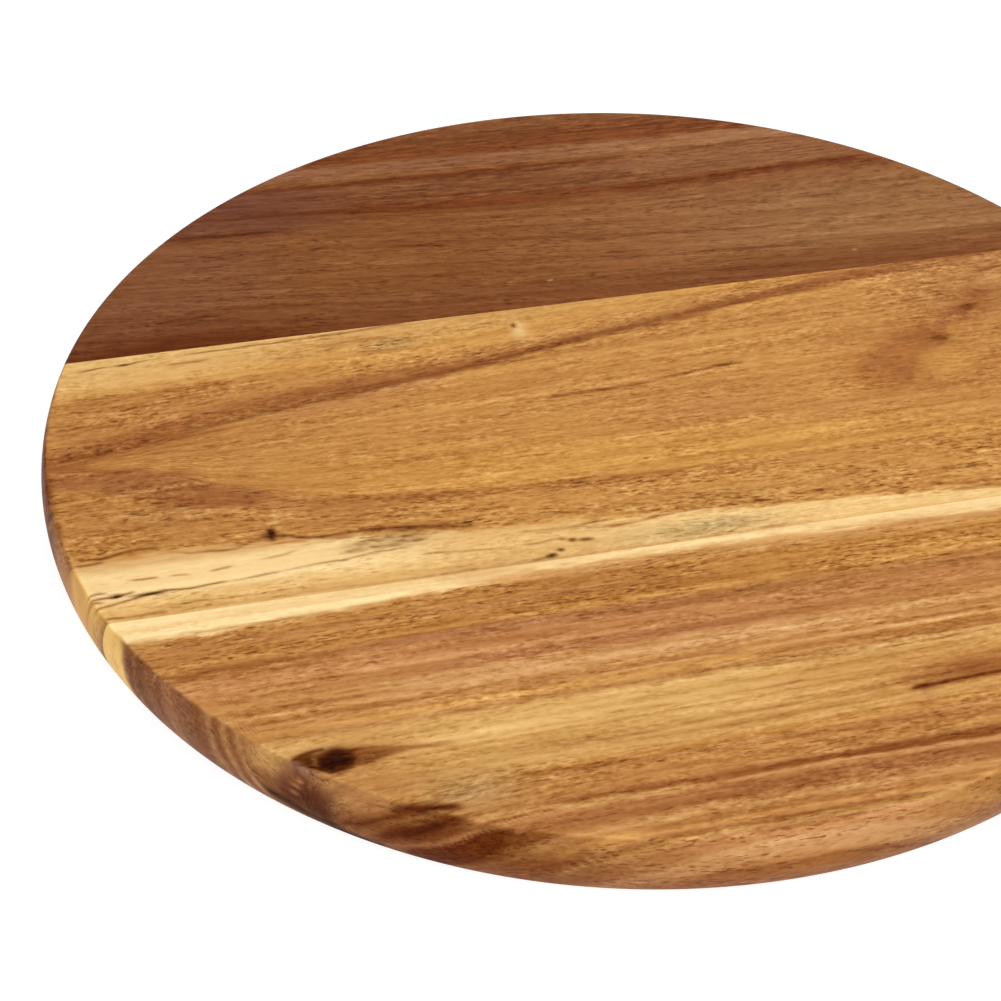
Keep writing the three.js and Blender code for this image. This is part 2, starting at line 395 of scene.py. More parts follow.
MIDDLE = {
    "seed": 100,
    "pith": (-1.0, 6.0),
    "guides": [FRONT_LINE, SAP_LINE, FLAME_LOWER, FLAME_HEART, FLAME_UPPER, BACK_LINE],
    "follow": 0.35,
    "tongues": 0.9,
    "lines": 0.06,
    "bands": [
        (-60, SAND), (-57.4, STRAW), (-55, CREAM), (-49.6, CREAM), (-48.4, HONEY), (-44, HONEY),
        (-36, HONEY), (-34, AMBER), (-31.6, GOLD), (-20, GOLD), (-6, HONEY), (18, HONEY), (24.4, HONEY),
        (25.5, CHESTNUT), (28.3, CHESTNUT), (29.8, TOFFEE), (32.2, HONEY), (38, GOLD), (46, WHEAT),
        (54, WHEAT),
    ],
    "zones": [
        # the left end is browner, above all under the flame and in its tip
        (AMBER, 0.75, zone, level(-40), level(26), 8, -160, -78, 60),
        (AMBER, 0.6, zone, SAP_LINE, FLAME_LOWER, 3, -160, -52, 50),
        (RUST, 0.85, zone, UNDER_FLAME, FLAME_LOWER, 4, -160, -94, 16),
        (CHESTNUT, 0.95, zone, FLAME_UPPER, OVER_FLAME, 6, -160, -60, 50),
        (CHESTNUT, 0.5, spot, (-124, 5), (15, 3.6)),
        (CHESTNUT, 0.6, spot, (-144, 0.6), (9, 4)),
        (TAN, 0.3, spot, (-118, -23.5), (18, 4)),
        (TOFFEE, 0.3, spot, (-76, -32.5), (20, 4)),
        (TOFFEE, 0.3, zone, BROWN_LOW, BROWN_HIGH, 12, -160, -84, 40),
        # the back edge is palest at the left and turns honey to the right
        (STRAW, 0.72, zone, [(-150, 29), (-90, 31.8), (-40, 36)], level(50), 9, -160, -88, 50),
        (SAND, 0.35, zone, [(-80, 33), (-20, 36), (30, 42)], level(50), 6, -60, 10, 40),
        (SAND, 0.5, spot, (-30, 37.6), (20, 3.4)),
        (HONEY, 0.6, zone, FLAME_UPPER, level(60), 6, 60, 170, 40),
        (HONEY, 0.42, zone, FLAME_UPPER, BACK_LINE, 2.5, -30, 70, 40),
        # the flame's mid part is golden below and redder round its heart
        (ROSE, 0.3, spot, (20, -12), (26, 7)),
        (TOFFEE, 0.15, spot, (22, 27), (15, 3.2)),
        (ROSE, 0.35, spot, (56, -17.6), (18, 4)),
        (AMBER, 0.8, zone, level(-30), level(31), 10, 62, 170, 40),
        (TOFFEE, 0.85, zone, level(14), level(46), 10, 90, 170, 24),
        # right of the middle the sapwood darkens and narrows
        (STRAW, 0.7, zone, level(-62), SAP_LINE, 2, -66, 170, 40),
        (SAND, 0.5, zone, level(-62), SAP_LINE, 3, -58, -14, 24),
        (STRAW, 0.5, zone, level(-54), SAP_LINE, 2, 26, 170, 20),
        (TAN, 0.3, streak, [(-74, -58.8), (0, -58.8), (36, -59)], 1.2, 1.0, 16),
        (WHEAT, 0.45, spot, (22, -45.4), (30, 2.6)),
        (GOLD, 0.45, spot, (76, -37), (24, 3)),
    ],
    "marks": [
        # the back sapwood: a crack along the grain, dashes, a grey bruise and a pin mark in a pale halo
        (UMBER, 0.7, streak, BACK_CRACK, 0.36, 0.32, 4),
        (INK, 0.7, spot, (-126.4, 39.4), (1.6, 0.45)),
        (CHESTNUT, 0.75, streak, [(-117, 36.6), (-110, 36.9), (-103, 36.8)], 0.5, 0.4, 4),
        (CHESTNUT, 0.5, streak, [(-92, 33.8), (-80, 33.4), (-68, 35.2)], 0.6, 0.5, 5),
        (CHESTNUT, 0.45, streak, [(-76, 36.6), (-64, 37.6), (-54, 37)], 0.5, 0.5, 4),
        (OLIVE, 0.45, spot, (-57, 33.2), (7.5, 3)),
        (CHESTNUT, 0.45, spot, (-61, 31.6), (4, 0.8)),
        (CHESTNUT, 0.4, spot, (-53, 35.4), (4, 0.7)),
        (CHESTNUT, 0.4, spot, (-38, 28.2), (1.6, 0.9)),
        (CREAM, 0.7, spot, (-20.8, 33.4), (2.2, 4.4)),
        (UMBER, 0.95, spot, *PIN_MARK),
        # the dark line along the rim at the left
        (RUSSET, 0.6, spot, (-147.2, -12), (1.0, 10), 4.0),
        (RUSSET, 0.6, spot, (-145.9, -25), (1.0, 6), 4.0),
        # dashes in the brown wood above the flame's tip
        (CHESTNUT, 0.6, streak, [(-148, 12.2), (-140, 12.4), (-130, 14.2)], 0.5, 0.5, 4),
        (CHESTNUT, 0.4, streak, [(-138, 19.2), (-126, 19.6), (-108, 23)], 0.6, 0.5, 6),
        (CHESTNUT, 0.4, streak, [(-132, 25.8), (-118, 26), (-100, 27.4)], 0.5, 0.5, 6),
        # the darkest line of the flame's upper branch, and the redder wood under it
        (COCOA, 0.6, crack, FLAME_CORE, 1.0, 0.8, 14),
        (RUSSET, 0.3, streak, FLAME_CORE[2:8], 0.8, 0.8, 14),
        (ROSE, 0.35, streak, [(-100, 6.4), (-80, 10.4), (-60, 13.6), (-36, 17.4)], 2.0, 2.6, 16),
        # the flame's tip: the fine dark line under its upper branch, the spur and a pale line
        (CHESTNUT, 0.7, streak, [(-148, 0.4), (-134, 2.4), (-122, 4.4), (-108, 5.6), (-98, 6.4)],
         0.9, 0.6, 6),
        (UMBER, 0.45, spot, (-138, 2.4), (7, 1.2)),
        (CHESTNUT, 0.7, streak, [(-150, -0.4), (-141, -2.6), (-132, -5.2), (-121, -6)], 1.5, 0.8, 4),
        (CHESTNUT, 0.7, spot, (-116.5, -8.6), (5.4, 1.8)),
        (CHESTNUT, 0.5, streak, [(-114, -0.6), (-106, -0.8)], 0.4, 0.4, 3),
        (SAND, 0.7, streak, [(-147, -15.4), (-135, -15), (-120, -14), (-106, -13.6)], 0.4, 0.4, 5),
        # the brown shading under the flame
        (CHESTNUT, 0.65, streak, [(-128, -17.6), (-114, -20), (-104, -22), (-92, -24.4)], 2.6, 2.6, 9),
        (CHESTNUT, 0.4, streak, [(-96, -24.6), (-80, -27), (-62, -29.4), (-40, -31)], 1.6, 2.0, 12),
        (CHESTNUT, 0.45, streak, [(-60, -30.2), (-40, -31), (-24, -31.8), (-8, -31)], 0.5, 0.5, 8),
        (CHESTNUT, 0.35, streak, [(-36, -35), (-10, -33), (12, -33.6)], 1.0, 1.4, 10),
        # the dark thread at the flame's heart
        (CHESTNUT, 0.75, streak, HEART_THREAD, 0.8, 0.6, 7),
        (UMBER, 0.7, spot, (-6, 2.4), (2.2, 0.6)),
        (UMBER, 0.95, spot, *HEART_CORE),
        # the brown swirl at the right, with a pale patch past its end
        (COPPER, 0.9, spot, (70, -5), (11, 8.6), 4.0),
        (COPPER, 0.9, spot, (80, 3.6), (9, 5.6), 3.0),
        (COPPER, 0.9, streak, SWIRL_BAND, 4.0, 3.4, 8),
        (COPPER, 0.45, spot, (102, -8), (8, 5)),
        (RUST, 0.5, spot, (72.5, -4.6), (7.4, 7.4), 4.0),
        (RUST, 0.6, streak, SWIRL_BAND, 3.2, 1.4, 6),
        (RUST, 0.55, streak, SWIRL_RIM, 5.0, 0.6, 6),
        (GOLD, 0.5, streak, SWIRL_RIM, 0.5, 5.0, 6),
        (CHESTNUT, 0.7, spot, (86, 6.6), (6, 3.2)),
        (CHESTNUT, 0.55, spot, (98, 15), (6, 3.4)),
        (CHESTNUT, 0.75, spot, (108, 22.8), (4.6, 3.4)),
        (CHESTNUT, 0.3, spot, (73, -8), (6, 4.4)),
        (UMBER, 0.85, spot, (90, 6), (2.4, 1.6)),
        (UMBER, 0.85, spot, (103, 18.2), (3, 1.7)),
        (FAWN, 0.7, spot, (114.5, 30), (3.4, 3.4)),
        (FAWN, 0.6, spot, (117.5, 39.2), (4, 1.5)),
        (CHESTNUT, 0.5, streak, [(60, 41.8), (90, 42.2), (124, 42.4)], 0.9, 0.9, 10),
        (UMBER, 0.75, streak, [(108.5, 33.8), (114, 34.4), (121, 35.6)], 0.9, 0.7, 4),
        (GOLD, 0.55, spot, (89, -4.4), (8, 5.8), 4.0),
        (CHESTNUT, 0.5, streak, [(72, -14.8), (84, -14.4), (104, -14.8)], 0.6, 0.5, 6),
        (SAND, 0.12, spot, (96, 32), (16, 7)),
        # the lower brown wood: long dark dashes towards the right
        (CHESTNUT, 0.6, streak, [(40, -44.4), (48, -43.6), (57, -44.4)], 0.5, 0.4, 4),
        (UMBER, 0.65, streak, [(66, -46.4), (72, -46.8), (80, -46.6)], 0.6, 0.5, 4),
        (CHESTNUT, 0.6, streak, [(50, -50.4), (64, -51.6), (78, -53), (96, -54)], 0.5, 0.5, 5),
        (UMBER, 0.6, streak, [(66, -54.2), (80, -55), (100, -56.4)], 0.5, 0.5, 5),
        (CHESTNUT, 0.5, streak, [(30, -47.6), (44, -47.8), (60, -49.4)], 0.5, 0.5, 6),
        # the border of the front sapwood, and a pin knot in a pale halo
        (UMBER, 0.8, crack, SAP_EDGE, 0.5, 0.4, 3),
        (UMBER, 0.7, crack, [(-143, -38.4), (-139.2, -38.4), (-135, -38)], 0.4, 0.4, 2),
        (UMBER, 0.6, streak, [(-120, -38.6), (-112, -39.4), (-103, -39.7)], 0.45, 0.4, 4),
        (UMBER, 0.62, crack, SAP_BORDER, 0.55, 0.42, 4),
        (UMBER, 0.5, streak, [(-76, -39.2), (-62, -41), (-46, -42.6)], 1.2, 1.2, 6),
        *[(INK, 0.5, spot, place, (1.6, 0.5)) for place in BORDER_SPECKS],
        (UMBER, 0.6, streak, [(-93, -42.6), (-87, -41.8), (-83, -41), (-77, -41)], 0.4, 0.4, 4),
        (STRAW, 0.6, spot, (-94.6, -31), (2.2, 2.8)),
        (MAROON, 0.95, spot, *PIN_KNOT),
        # the front sapwood: dashes, a split with a void, stains and specks
        (CHESTNUT, 0.85, crack, [(-130.6, -45.7), (-126.2, -45.9), (-123, -45.9)], 0.32, 0.3, 2),
        (CHESTNUT, 0.55, crack, [(-121.4, -46), (-118.6, -46.2), (-115.6, -46.6)], 0.3, 0.3, 2),
        (CHESTNUT, 0.8, crack, [(-112.4, -46.5), (-109.7, -46.1), (-105.6, -45.5)], 0.32, 0.3, 2),
        (CHESTNUT, 0.5, streak, [(-101, -44.8), (-92, -43.6), (-84, -41.8), (-76, -41.4)], 0.4, 0.4, 4),
        (UMBER, 0.78, crack, SAP_CRACK[:8], 0.32, 0.3, 3),
        (UMBER, 0.65, streak, SAP_CRACK[6:], 0.3, 0.28, 4),
        (UMBER, 0.75, crack, [(-141, -50.1), (-138.6, -49), (-135, -49)], 0.36, 0.34, 2),
        (UMBER, 0.8, crack, [(-141.6, -52), (-138.6, -50.8), (-134, -50.5), (-128.6, -49.7)], 0.38, 0.36, 2),
        (UMBER, 0.7, crack, [(-142, -52.2), (-139.1, -51.7), (-136.4, -52)], 0.34, 0.34, 1),
        (CHESTNUT, 0.6, crack, [(-137, -57.6), (-132.7, -58), (-126.3, -57.8), (-122, -58.2)], 0.34, 0.3, 2),
        (INK, 0.97, spot, *VOID),
        (INK, 0.9, spot, *SPLIT),
        (OLIVE, 0.5, spot, (-69, -44.6), (10, 2.6)),
        *[(UMBER, 0.55, spot, place, (1.1, 0.5)) for place in STAIN_SPECKS],
        (CHESTNUT, 0.5, streak, [(-82, -44.6), (-72, -43.4), (-58, -43.6)], 0.5, 0.6, 4),
        (CHESTNUT, 0.45, streak, [(-80, -47), (-70, -46), (-58, -45)], 0.5, 0.5, 4),
        (CHESTNUT, 0.7, streak, [(-64, -50.8), (-54, -51.4), (-46, -52.6), (-26, -52)], 0.36, 0.34, 4),
        (CHESTNUT, 0.6, streak, [(-40, -47.6), (-28, -48.4), (-14, -48)], 0.4, 0.4, 4),
        (CHESTNUT, 0.8, streak, [(-24, -50), (-14, -50.4), (-6, -49.4), (4, -48.6)], 0.5, 0.4, 4),
        (UMBER, 0.7, spot, (4.6, -48.5), (1.4, 0.6)),
        (CHESTNUT, 0.6, streak, [(8, -48.4), (18, -48.8), (30, -50.2)], 0.5, 0.5, 4),
        (OLIVE, 0.5, spot, (3, -55.4), (17, 2.8)),
        (OLIVE, 0.4, spot, (10, -55), (7, 2)),
        (UMBER, 0.55, crack, [(-39, -58.6), (-36.4, -58.3), (-32.6, -57.5)], 0.4, 0.4, 2),
        (INK, 0.9, spot, (-32.8, -57.6), (1.3, 0.8), 3.0),
        (INK, 0.8, spot, (-30.3, -56.2), (0.9, 0.6), 3.0),
        (UMBER, 0.6, spot, (-29, -52.6), (0.9, 0.5)),
        (UMBER, 0.9, spot, (-26.8, -53.3), (1.1, 0.8), 3.0),
        (UMBER, 0.85, spot, (-23.6, -53.8), (1.9, 0.7), 3.0),
        (CHESTNUT, 0.3, streak, [(-136, -58.6), (-110, -58.2), (-70, -58.4), (-36, -58.7)], 0.4, 0.3, 8),
        (CHESTNUT, 0.5, streak, [(-130, -55.4), (-112, -56), (-90, -56.2)], 0.4, 0.4, 6),
        (CHESTNUT, 0.4, streak, [(2, -58.7), (14, -58.3), (30, -58.5)], 0.4, 0.3, 6),
    ],
    "surface": [
        ((1.2, 1.0), 1.0, zone, SAP_LINE, FLAME_LOWER, 3, -160, 160, 4),
        ((1.1, 0.8), 1.0, zone, FLAME_UPPER, level(60), 6, -160, 160, 4),
        ((0.7, 0.5), 1.0, zone, [(-150, 27), (-60, 28), (0, 33), (60, 46)], level(60), 5, -160, 60, 40),
        ((1.2, 0.6), 1.0, zone, level(14), level(60), 10, 72, 160, 30),
        ((0.5, 0.2), 0.9, spot, (82, 2), (18, 13), 3.0),
        ((0.2, 0.2), 1.0, zone, level(-70), SAP_LINE, 2, -160, -70, 30),
        ((0.6, 0.8), 1.0, zone, level(-58.8), SAP_CRACK, 1.5, -150, -66, 20),
        ((0.6, 0.35), 1.0, zone, level(-70), SAP_LINE, 2, -70, 160, 30),
        ((1.2, 2.4), 0.9, spot, (-68, -44.4), (11, 3.2)),
        ((1.1, 1.2), 0.9, spot, (4, -55), (17, 3.4)),
        ((1.2, 1.8), 0.9, spot, (-57, 33.2), (9, 3.6)),
    ],
    "plain": (0.85, 0.5),
    "hollows": [
        ((-0.5,), 1.0, spot, *VOID),
        ((-0.3,), 1.0, spot, *SPLIT),
        ((-0.15,), 1.0, spot, *PIN_KNOT),
        ((-0.15,), 1.0, spot, *PIN_MARK),
        ((-0.12,), 1.0, spot, *HEART_CORE),
        ((-0.03,), 1.0, streak, SAP_CRACK, 0.5, 0.5, 4),
        ((-0.03,), 1.0, streak, BACK_CRACK, 0.5, 0.5, 4),
    ],
    "edge": [
        # the left edge is dark red, then lighter towards the front
        (RUSSET, 0.65, spot, (-149.8, 6), (2.2, 12), 4.0),
        (TOFFEE, 0.85, spot, (-145.4, 6), (2.0, 12), 4.0),
        (HONEY, 0.6, spot, (-141.6, 6), (1.6, 12), 4.0),
        (SAND, 0.6, spot, (-139, 2), (1.0, 4)),
    ],
}

# The front stave: a pale edge, golden brown stripes and a dark knot near the rim

FRONT_SAP = [
    (-150, -68), (-118, -66.4), (-98, -65.8), (-86, -66), (-72, -65), (-58, -63.6), (-40, -63),
    (-10, -62.8), (20, -63.4), (50, -64.4), (80, -65.8), (150, -67),
]
PALE_EDGE = [(-60, -62), (0, -62.2), (40, -62.6), (70, -63.2), (150, -65)]
CHECK = [(33, -115.8), (37, -115.6), (44, -115.2), (52, -114.9), (64, -114.6), (84, -113.6)]
FIELD_TOP = [(-80, 12.4), (-75.3, 9.4), (-70.5, 6), (-66.6, 2.8), (-64, 1.4), (-58, 0)]
FIELD_BOTTOM = [(-80, 17), (-71.5, 15), (-65.8, 10), (-62, 5.6), (-58, 3)]
TAIL_LOW = [(-92, -112.6), (-88.6, -112.4), (-84, -111.8), (-75, -110.6)]
TAIL_HIGH = [(-92, -107), (-88, -107.4), (-82, -108.4), (-75, -110)]
KNOT = ((-91.5, -110.2), (4.3, 3.7), 6.0)

FRONT = {
    "seed": 200,
    "pith": (-115.0, 7.0),
    "guides": [
        level(-152),
        [(-150, -143), (-95, -138), (-60, -133.4), (0, -131.8), (60, -132), (150, -134)],
        [(-150, -116), (-95, -117), (-50, -116.2), (0, -115.3), (50, -113.5), (150, -112)],
        [(-150, -97.5), (-105, -97), (0, -96), (60, -95.5), (150, -95)],
        [(-150, -79), (-110, -79), (-60, -78.2), (0, -78.6), (60, -78.5), (150, -79)],
        level(-59),
    ],
    "follow": 1.0,
    "tongues": 0.3,
    "lines": 0.1,
    "bands": [
        (-165, RUST), (-157, COPPER), (-154, RUST), (-152.6, COPPER), (-152, CHESTNUT),
        (-151.5, BISCUIT), (-150.8, PEACH), (-149.2, PEACH), (-148.4, BISCUIT), (-147, BISCUIT),
        (-146.1, PEACH), (-145.3, SAND), (-144.6, TOFFEE), (-143.6, BISCUIT), (-142.8, HONEY),
        (-139.4, FAWN), (-138, TOFFEE), (-137, RUST), (-134.4, RUST), (-133.4, BISCUIT), (-132.3, FAWN),
        (-131.7, CHESTNUT), (-130.6, CHESTNUT), (-129.4, TOFFEE), (-127.4, AMBER), (-126.5, TOFFEE),
        (-125.2, AMBER), (-123.4, TOFFEE), (-122.2, HONEY), (-120.8, AMBER), (-119.2, WHEAT),
        (-112, SAND), (-103.4, SAND), (-102.2, SAND), (-101.2, FAWN), (-99.4, HONEY), (-98, HONEY),
        (-96.8, FAWN), (-95.4, AMBER), (-94.2, FAWN), (-89.8, FAWN), (-88.6, BISCUIT), (-86.6, TOFFEE),
        (-85.6, BISCUIT), (-81.6, BISCUIT), (-80.5, TOFFEE), (-78, TOFFEE), (-77, HONEY), (-74.4, HONEY),
        (-72.6, AMBER), (-70.6, TOFFEE), (-68.6, AMBER), (-66.4, AMBER), (-58, HONEY),
    ],
    "zones": [
        (GOLD, 0.6, zone, level(-75), level(-67), 3, -6, 170, 50),
        (FAWN, 0.6, streak, [(-60, -63.9), (0, -64.2), (60, -64.8), (120, -65.6)], 1.2, 1.2, 30),
        (CREAM, 1.0, zone, FRONT_SAP, level(-40), 3.0, -170, -50, 30),
        (CREAM, 1.0, zone, PALE_EDGE, level(-40), 3.0, -50, 170, 30),
        (AMBER, 0.6, zone, level(-116), level(-106), 6, 38, 170, 40),
        (AMBER, 0.3, zone, level(-120), level(-84), 6, 50, 170, 50),
        (TOFFEE, 0.3, zone, level(-101), level(-67), 4, -170, -86, 30),
        (AMBER, 0.5, zone, level(-96), level(-88.6), 3, -170, -78, 24),
        (HONEY, 0.4, zone, level(-119), level(-104), 5, 8, 170, 40),
        (CHESTNUT, 0.45, zone, level(-115.5), level(-109), 3, 40, 170, 22),
        (AMBER, 0.3, zone, level(-95), level(-88.4), 2, 24, 170, 30),
        (AMBER, 0.35, spot, (10, -109), (22, 1.6)),
        (STRAW, 0.3, zone, level(-112), level(-103), 3, -64, 12, 30),
    ],
    "marks": [
        # stripes that change between brown and mauve along the stave
        (ROSE, 0.75, streak, [(-92, -78.6), (-60, -78.3), (-30, -78.6), (8, -79)], 1.4, 1.6, 24),
        (RUST, 0.65, streak, [(-36, -78.8), (0, -79.2), (22, -79.6), (42, -79)], 1.7, 2.2, 18),
        (TOFFEE, 0.5, streak, [(-2, -79), (30, -79.6), (56, -79.4)], 3.0, 2.4, 20),
        (CHESTNUT, 0.7, streak, [(-130, -79.2), (-116, -79), (-104, -78.4), (-90, -78)], 1.0, 1.0, 8),
        (ROSE, 0.6, streak, [(-76, -87.4), (-40, -87), (-10, -87.6), (20, -87.8)], 1.0, 1.1, 20),
        (CHESTNUT, 0.2, streak, [(-12, -87.6), (4, -87.8), (30, -87.8), (56, -87.4)], 0.6, 0.6, 10),
        (CHESTNUT, 0.75, streak, [(-122, -86.8), (-108, -86.7), (-92, -86.2), (-80, -86.4)], 0.5, 0.5, 8),
        (CHESTNUT, 0.5, streak, [(-120, -89.4), (-100, -89), (-84, -88)], 0.4, 0.4, 8),
        (CHESTNUT, 0.65, streak, [(-116, -93.6), (-98, -93), (-80, -93.2), (-66, -94)], 0.5, 0.5, 8),
        (CHESTNUT, 0.5, streak, [(-112, -96.2), (-94, -95.8), (-74, -96.6)], 0.5, 0.4, 8),
        (CHESTNUT, 0.55, streak, [(-12, -94.6), (10, -94.6), (36, -95.2), (66, -95)], 0.5, 0.5, 8),
        (CHESTNUT, 0.5, streak, [(-54, -97.2), (-20, -96.6), (8, -96.8)], 0.4, 0.4, 8),
        (CHESTNUT, 0.6, streak, [(0, -99), (24, -98.4), (40, -98.8), (70, -98.6)], 0.9, 0.9, 12),
        (CHESTNUT, 0.3, streak, [(-106, -102.4), (-88, -102), (-60, -102.4), (-36, -103)], 0.4, 0.4, 8),
        (CHESTNUT, 0.5, streak, [(-26, -102.8), (0, -102.4), (24, -102.6), (60, -102)], 0.4, 0.4, 8),
        # fine dark threads in the pale wood, a brown patch and a check at the right
        (CHESTNUT, 0.75, streak, [(5, -113), (13, -113.6), (24, -113.8), (34, -113.2), (60, -111.8)],
         0.55, 0.5, 5),
        (CHESTNUT, 0.55, streak,
         [(-60, -115.5), (-40, -116), (-28, -116.3), (-10, -115.2), (12, -114.6)], 0.4, 0.4, 8),
        (CHESTNUT, 0.55, streak, [(-8, -109.4), (2, -109.1), (10, -108.8), (24, -108.6)], 0.4, 0.35, 4),
        (CHESTNUT, 0.35, streak, [(-46, -109.6), (-28, -109.2), (-14, -109.6)], 0.5, 0.5, 8),
        (CHESTNUT, 0.75, spot, (47, -110.9), (8, 0.8)),
        (CHESTNUT, 0.65, spot, (51, -112.6), (14, 2.6)),
        (ROSE, 0.5, spot, (36.4, -118), (1.8, 2)),
        (CHESTNUT, 0.6, crack, CHECK, 1.1, 0.9, 4),
        (BRICK, 0.95, crack, CHECK, 0.55, 0.5, 2),
        (BRICK, 0.9, spot, (36.8, -115.6), (2.4, 0.7)),
        # dark lines near the rim
        (CHESTNUT, 0.5, streak, [(-60, -122.4), (-40, -122.8), (-26, -122.4)], 0.8, 0.7, 8),
        (CHESTNUT, 0.55, streak, [(-8, -123.8), (20, -124.2), (50, -124.4)], 0.8, 0.8, 12),
        (RUSSET, 0.4, streak, [(-60, -131.2), (-20, -131), (10, -131), (48, -131.7), (90, -131.9)],
         0.8, 0.6, 12),
        (CHESTNUT, 0.7, crack, [(-38, -142), (-16, -141.8), (14, -141.8), (42, -142.6)], 0.7, 0.6, 8),
        (SAND, 0.55, spot, (32, -144.6), (7, 1.8)),
        (CHESTNUT, 0.5, streak, [(-30, -144.2), (0, -144.6), (28, -143.8)], 0.6, 0.6, 8),
        # the knot with its pointed left tip and its tail
        (TOFFEE, 0.6, spot, (-90, -110.8), (12, 6)),
        (TOFFEE, 0.35, spot, (-82, -120), (12, 3)),
        (COCOA, 0.66, zone, TAIL_LOW, TAIL_HIGH, 1.2, -91, -75, 8),
        (UMBER, 0.45, spot, (-82, -110), (4, 1.3)),
        (UMBER, 0.6, spot, (-87, -110), (3.4, 2.2)),
        (CHESTNUT, 0.7, streak, [(-90, -107.2), (-82, -108.6), (-74, -110.2), (-64, -110.8)], 0.7, 0.6, 4),
        (UMBER, 0.7, streak, [(-91, -112.8), (-86, -112.2), (-80, -111)], 0.7, 0.6, 3),
        (UMBER, 0.95, spot, (-96.4, -109.2), (2.4, 2.3), 3.0),
        (UMBER, 0.9, spot, (-99.2, -108.6), (1.5, 0.8)),
        (MAROON, 0.5, spot, (-97.6, -109.2), (2.4, 1.5), 3.0),
        (BRICK, 0.6, spot, (-88.4, -108.3), (2.8, 0.9), 3.0),
        (MAROON, 0.98, spot, *KNOT),
        (PITCH, 0.6, spot, (-91.6, -110.2), (3.4, 2.8), 4.0),
        (OLIVE, 0.4, spot, (-95.9, -109.2), (0.7, 1.3)),
        (MAROON, 0.7, crack, [(-101, -108.7), (-98.6, -107.6), (-95.6, -106.9), (-93, -106.6)],
         0.55, 0.55, 1),
        (MAROON, 0.75, crack, [(-101, -108.8), (-98, -110.6), (-95.4, -111.8), (-93, -112.6)], 0.5, 0.5, 1),
        (BRICK, 0.7, spot, (-91.4, -112.3), (2.2, 0.5)),
        (BRICK, 0.7, spot, (-88.9, -109.2), (1.1, 0.4)),
        (BRICK, 0.5, spot, (-93.6, -108.2), (1.6, 0.4)),
        (RUST, 0.65, spot, (-89, -122.8), (5, 1.4)),
        (CHESTNUT, 0.45, streak, [(-96, -117), (-84, -116.8), (-70, -117.6)], 0.5, 0.5, 6),
        (CHESTNUT, 0.45, streak, [(-94, -119.8), (-84, -120), (-66, -120.2)], 0.5, 0.5, 6),
        # painted highlight: a pale greyish patch right of the knot's tail stands in for the soft reflection
        # on the satin finish
        (OLIVE, 0.62, spot, (-66, -124.6), (10, 4.4)),
        (PEACH, 0.35, spot, (-62, -126), (8, 3)),
        (BRICK, 0.9, streak, [(-84, -125), (-78, -126.2), (-74, -127.2), (-67, -127.8)], 0.9, 0.8, 3),
        (MAROON, 0.5, streak, [(-83, -125.2), (-78, -126.2), (-74, -127.2), (-68, -127.7)], 0.8, 0.8, 3),
        (BRICK, 0.6, spot, (-71, -130.9), (3.6, 0.9)),
        (SAND, 0.7, streak, [(-72, -133.2), (-61, -132.2), (-52, -131.9), (-40, -132.3), (-20, -132.5)],
         0.8, 0.7, 6),
    ],
    "surface": [
        ((1.1, 1.0), 1.0, zone, level(-77), FRONT_SAP, 2, -170, 170, 4),
        ((0.7, 0.4), 1.0, zone, level(-119), level(-103), 4, -170, 170, 4),
        ((1.0, 0.6), 1.0, zone, level(-131), level(-120), 3, -170, 170, 4),
        ((0.4, 0.2), 1.0, zone, FRONT_SAP, level(-40), 3.0, -170, 170, 4),
    ],
    "plain": (0.9, 0.5),
    "hollows": [
        ((-0.2,), 1.0, spot, *KNOT),
        ((-0.12,), 1.0, streak, CHECK, 0.5, 0.5, 2),
    ],
    "edge": [
        # the lower half is darker and redder under the dark streaks
        (RUSSET, 0.6, spot, (-66, 11), (26, 7), 4.0),
        # rings that the edge cuts across, left of the knot
        (MAUVE, 0.3, spot, (-123, 4), (8, 8), 4.0),
        (WALNUT, 0.7, ring_end, -132.6, -131, 1.0),
        (WALNUT, 0.7, ring_end, -127.6, -126, 0.8),
        (BISCUIT, 0.35, ring_end, -124.4, -121.6, 1.4),
        (WALNUT, 0.85, ring_end, -118.8, -116.4, 1.2),
        (FAWN, 0.4, ring_end, -116.6, -112.6, 0.5),
        (WALNUT, 0.85, ring_end, -115.2, -110, 0.7),
        (FAWN, 0.5, ring_end, -113.8, -108.2, 0.55),
        (WALNUT, 0.85, ring_end, -112.4, -106, 0.7),
        (FAWN, 0.5, ring_end, -111, -104, 0.55),
        (WALNUT, 0.7, ring_end, -109.8, -102, 0.5),
        # a bruise under the knot: mauve at the arris, plum with pinkish brush marks, black at the bottom
        (FAWN, 0.5, spot, (-88, 2), (6, 3)),
        (SAND, 0.6, spot, (-107.4, 2.4), (3.2, 4)),
        (PLUM, 0.9, spot, (-101.4, 6.4), (3.0, 4.6), 3.0),
        (PLUM, 0.85, spot, (-96.6, 7), (3.8, 5.2), 3.0),
        (MAROON, 0.55, spot, (-98.6, 8), (4.6, 5), 3.0),
        (MAUVE, 0.8, spot, (-98.6, 0.4), (2.6, 1.4)),
        (BISCUIT, 0.75, spot, (-99.6, 3.4), (1.0, 0.6)),
        (BISCUIT, 0.7, spot, (-100.4, 4.9), (1.2, 0.5)),
        (BISCUIT, 0.65, spot, (-100.8, 7), (1.0, 0.6)),
        (INK, 0.8, streak, [(-108, 10), (-103, 11.4), (-99, 12.6), (-95, 13.6), (-90, 14.6), (-82, 16)],
         2.4, 1.2, 3),
        (INK, 0.8, spot, (-94, 12.6), (1.8, 0.9)),
        (INK, 0.55, spot, (-95, 10.6), (2.2, 1.8)),
        (RUST, 0.6, spot, (-86.6, 2.2), (2.8, 1.3)),
        # two dark streaks come over the edge, with a light band and a dark red field in front of them
        (BRICK, 0.85, crack, [(-93, 11.4), (-88, 8), (-84.6, 5.3), (-80.6, 2.5), (-75, -0.8)], 1.0, 1.0, 2),
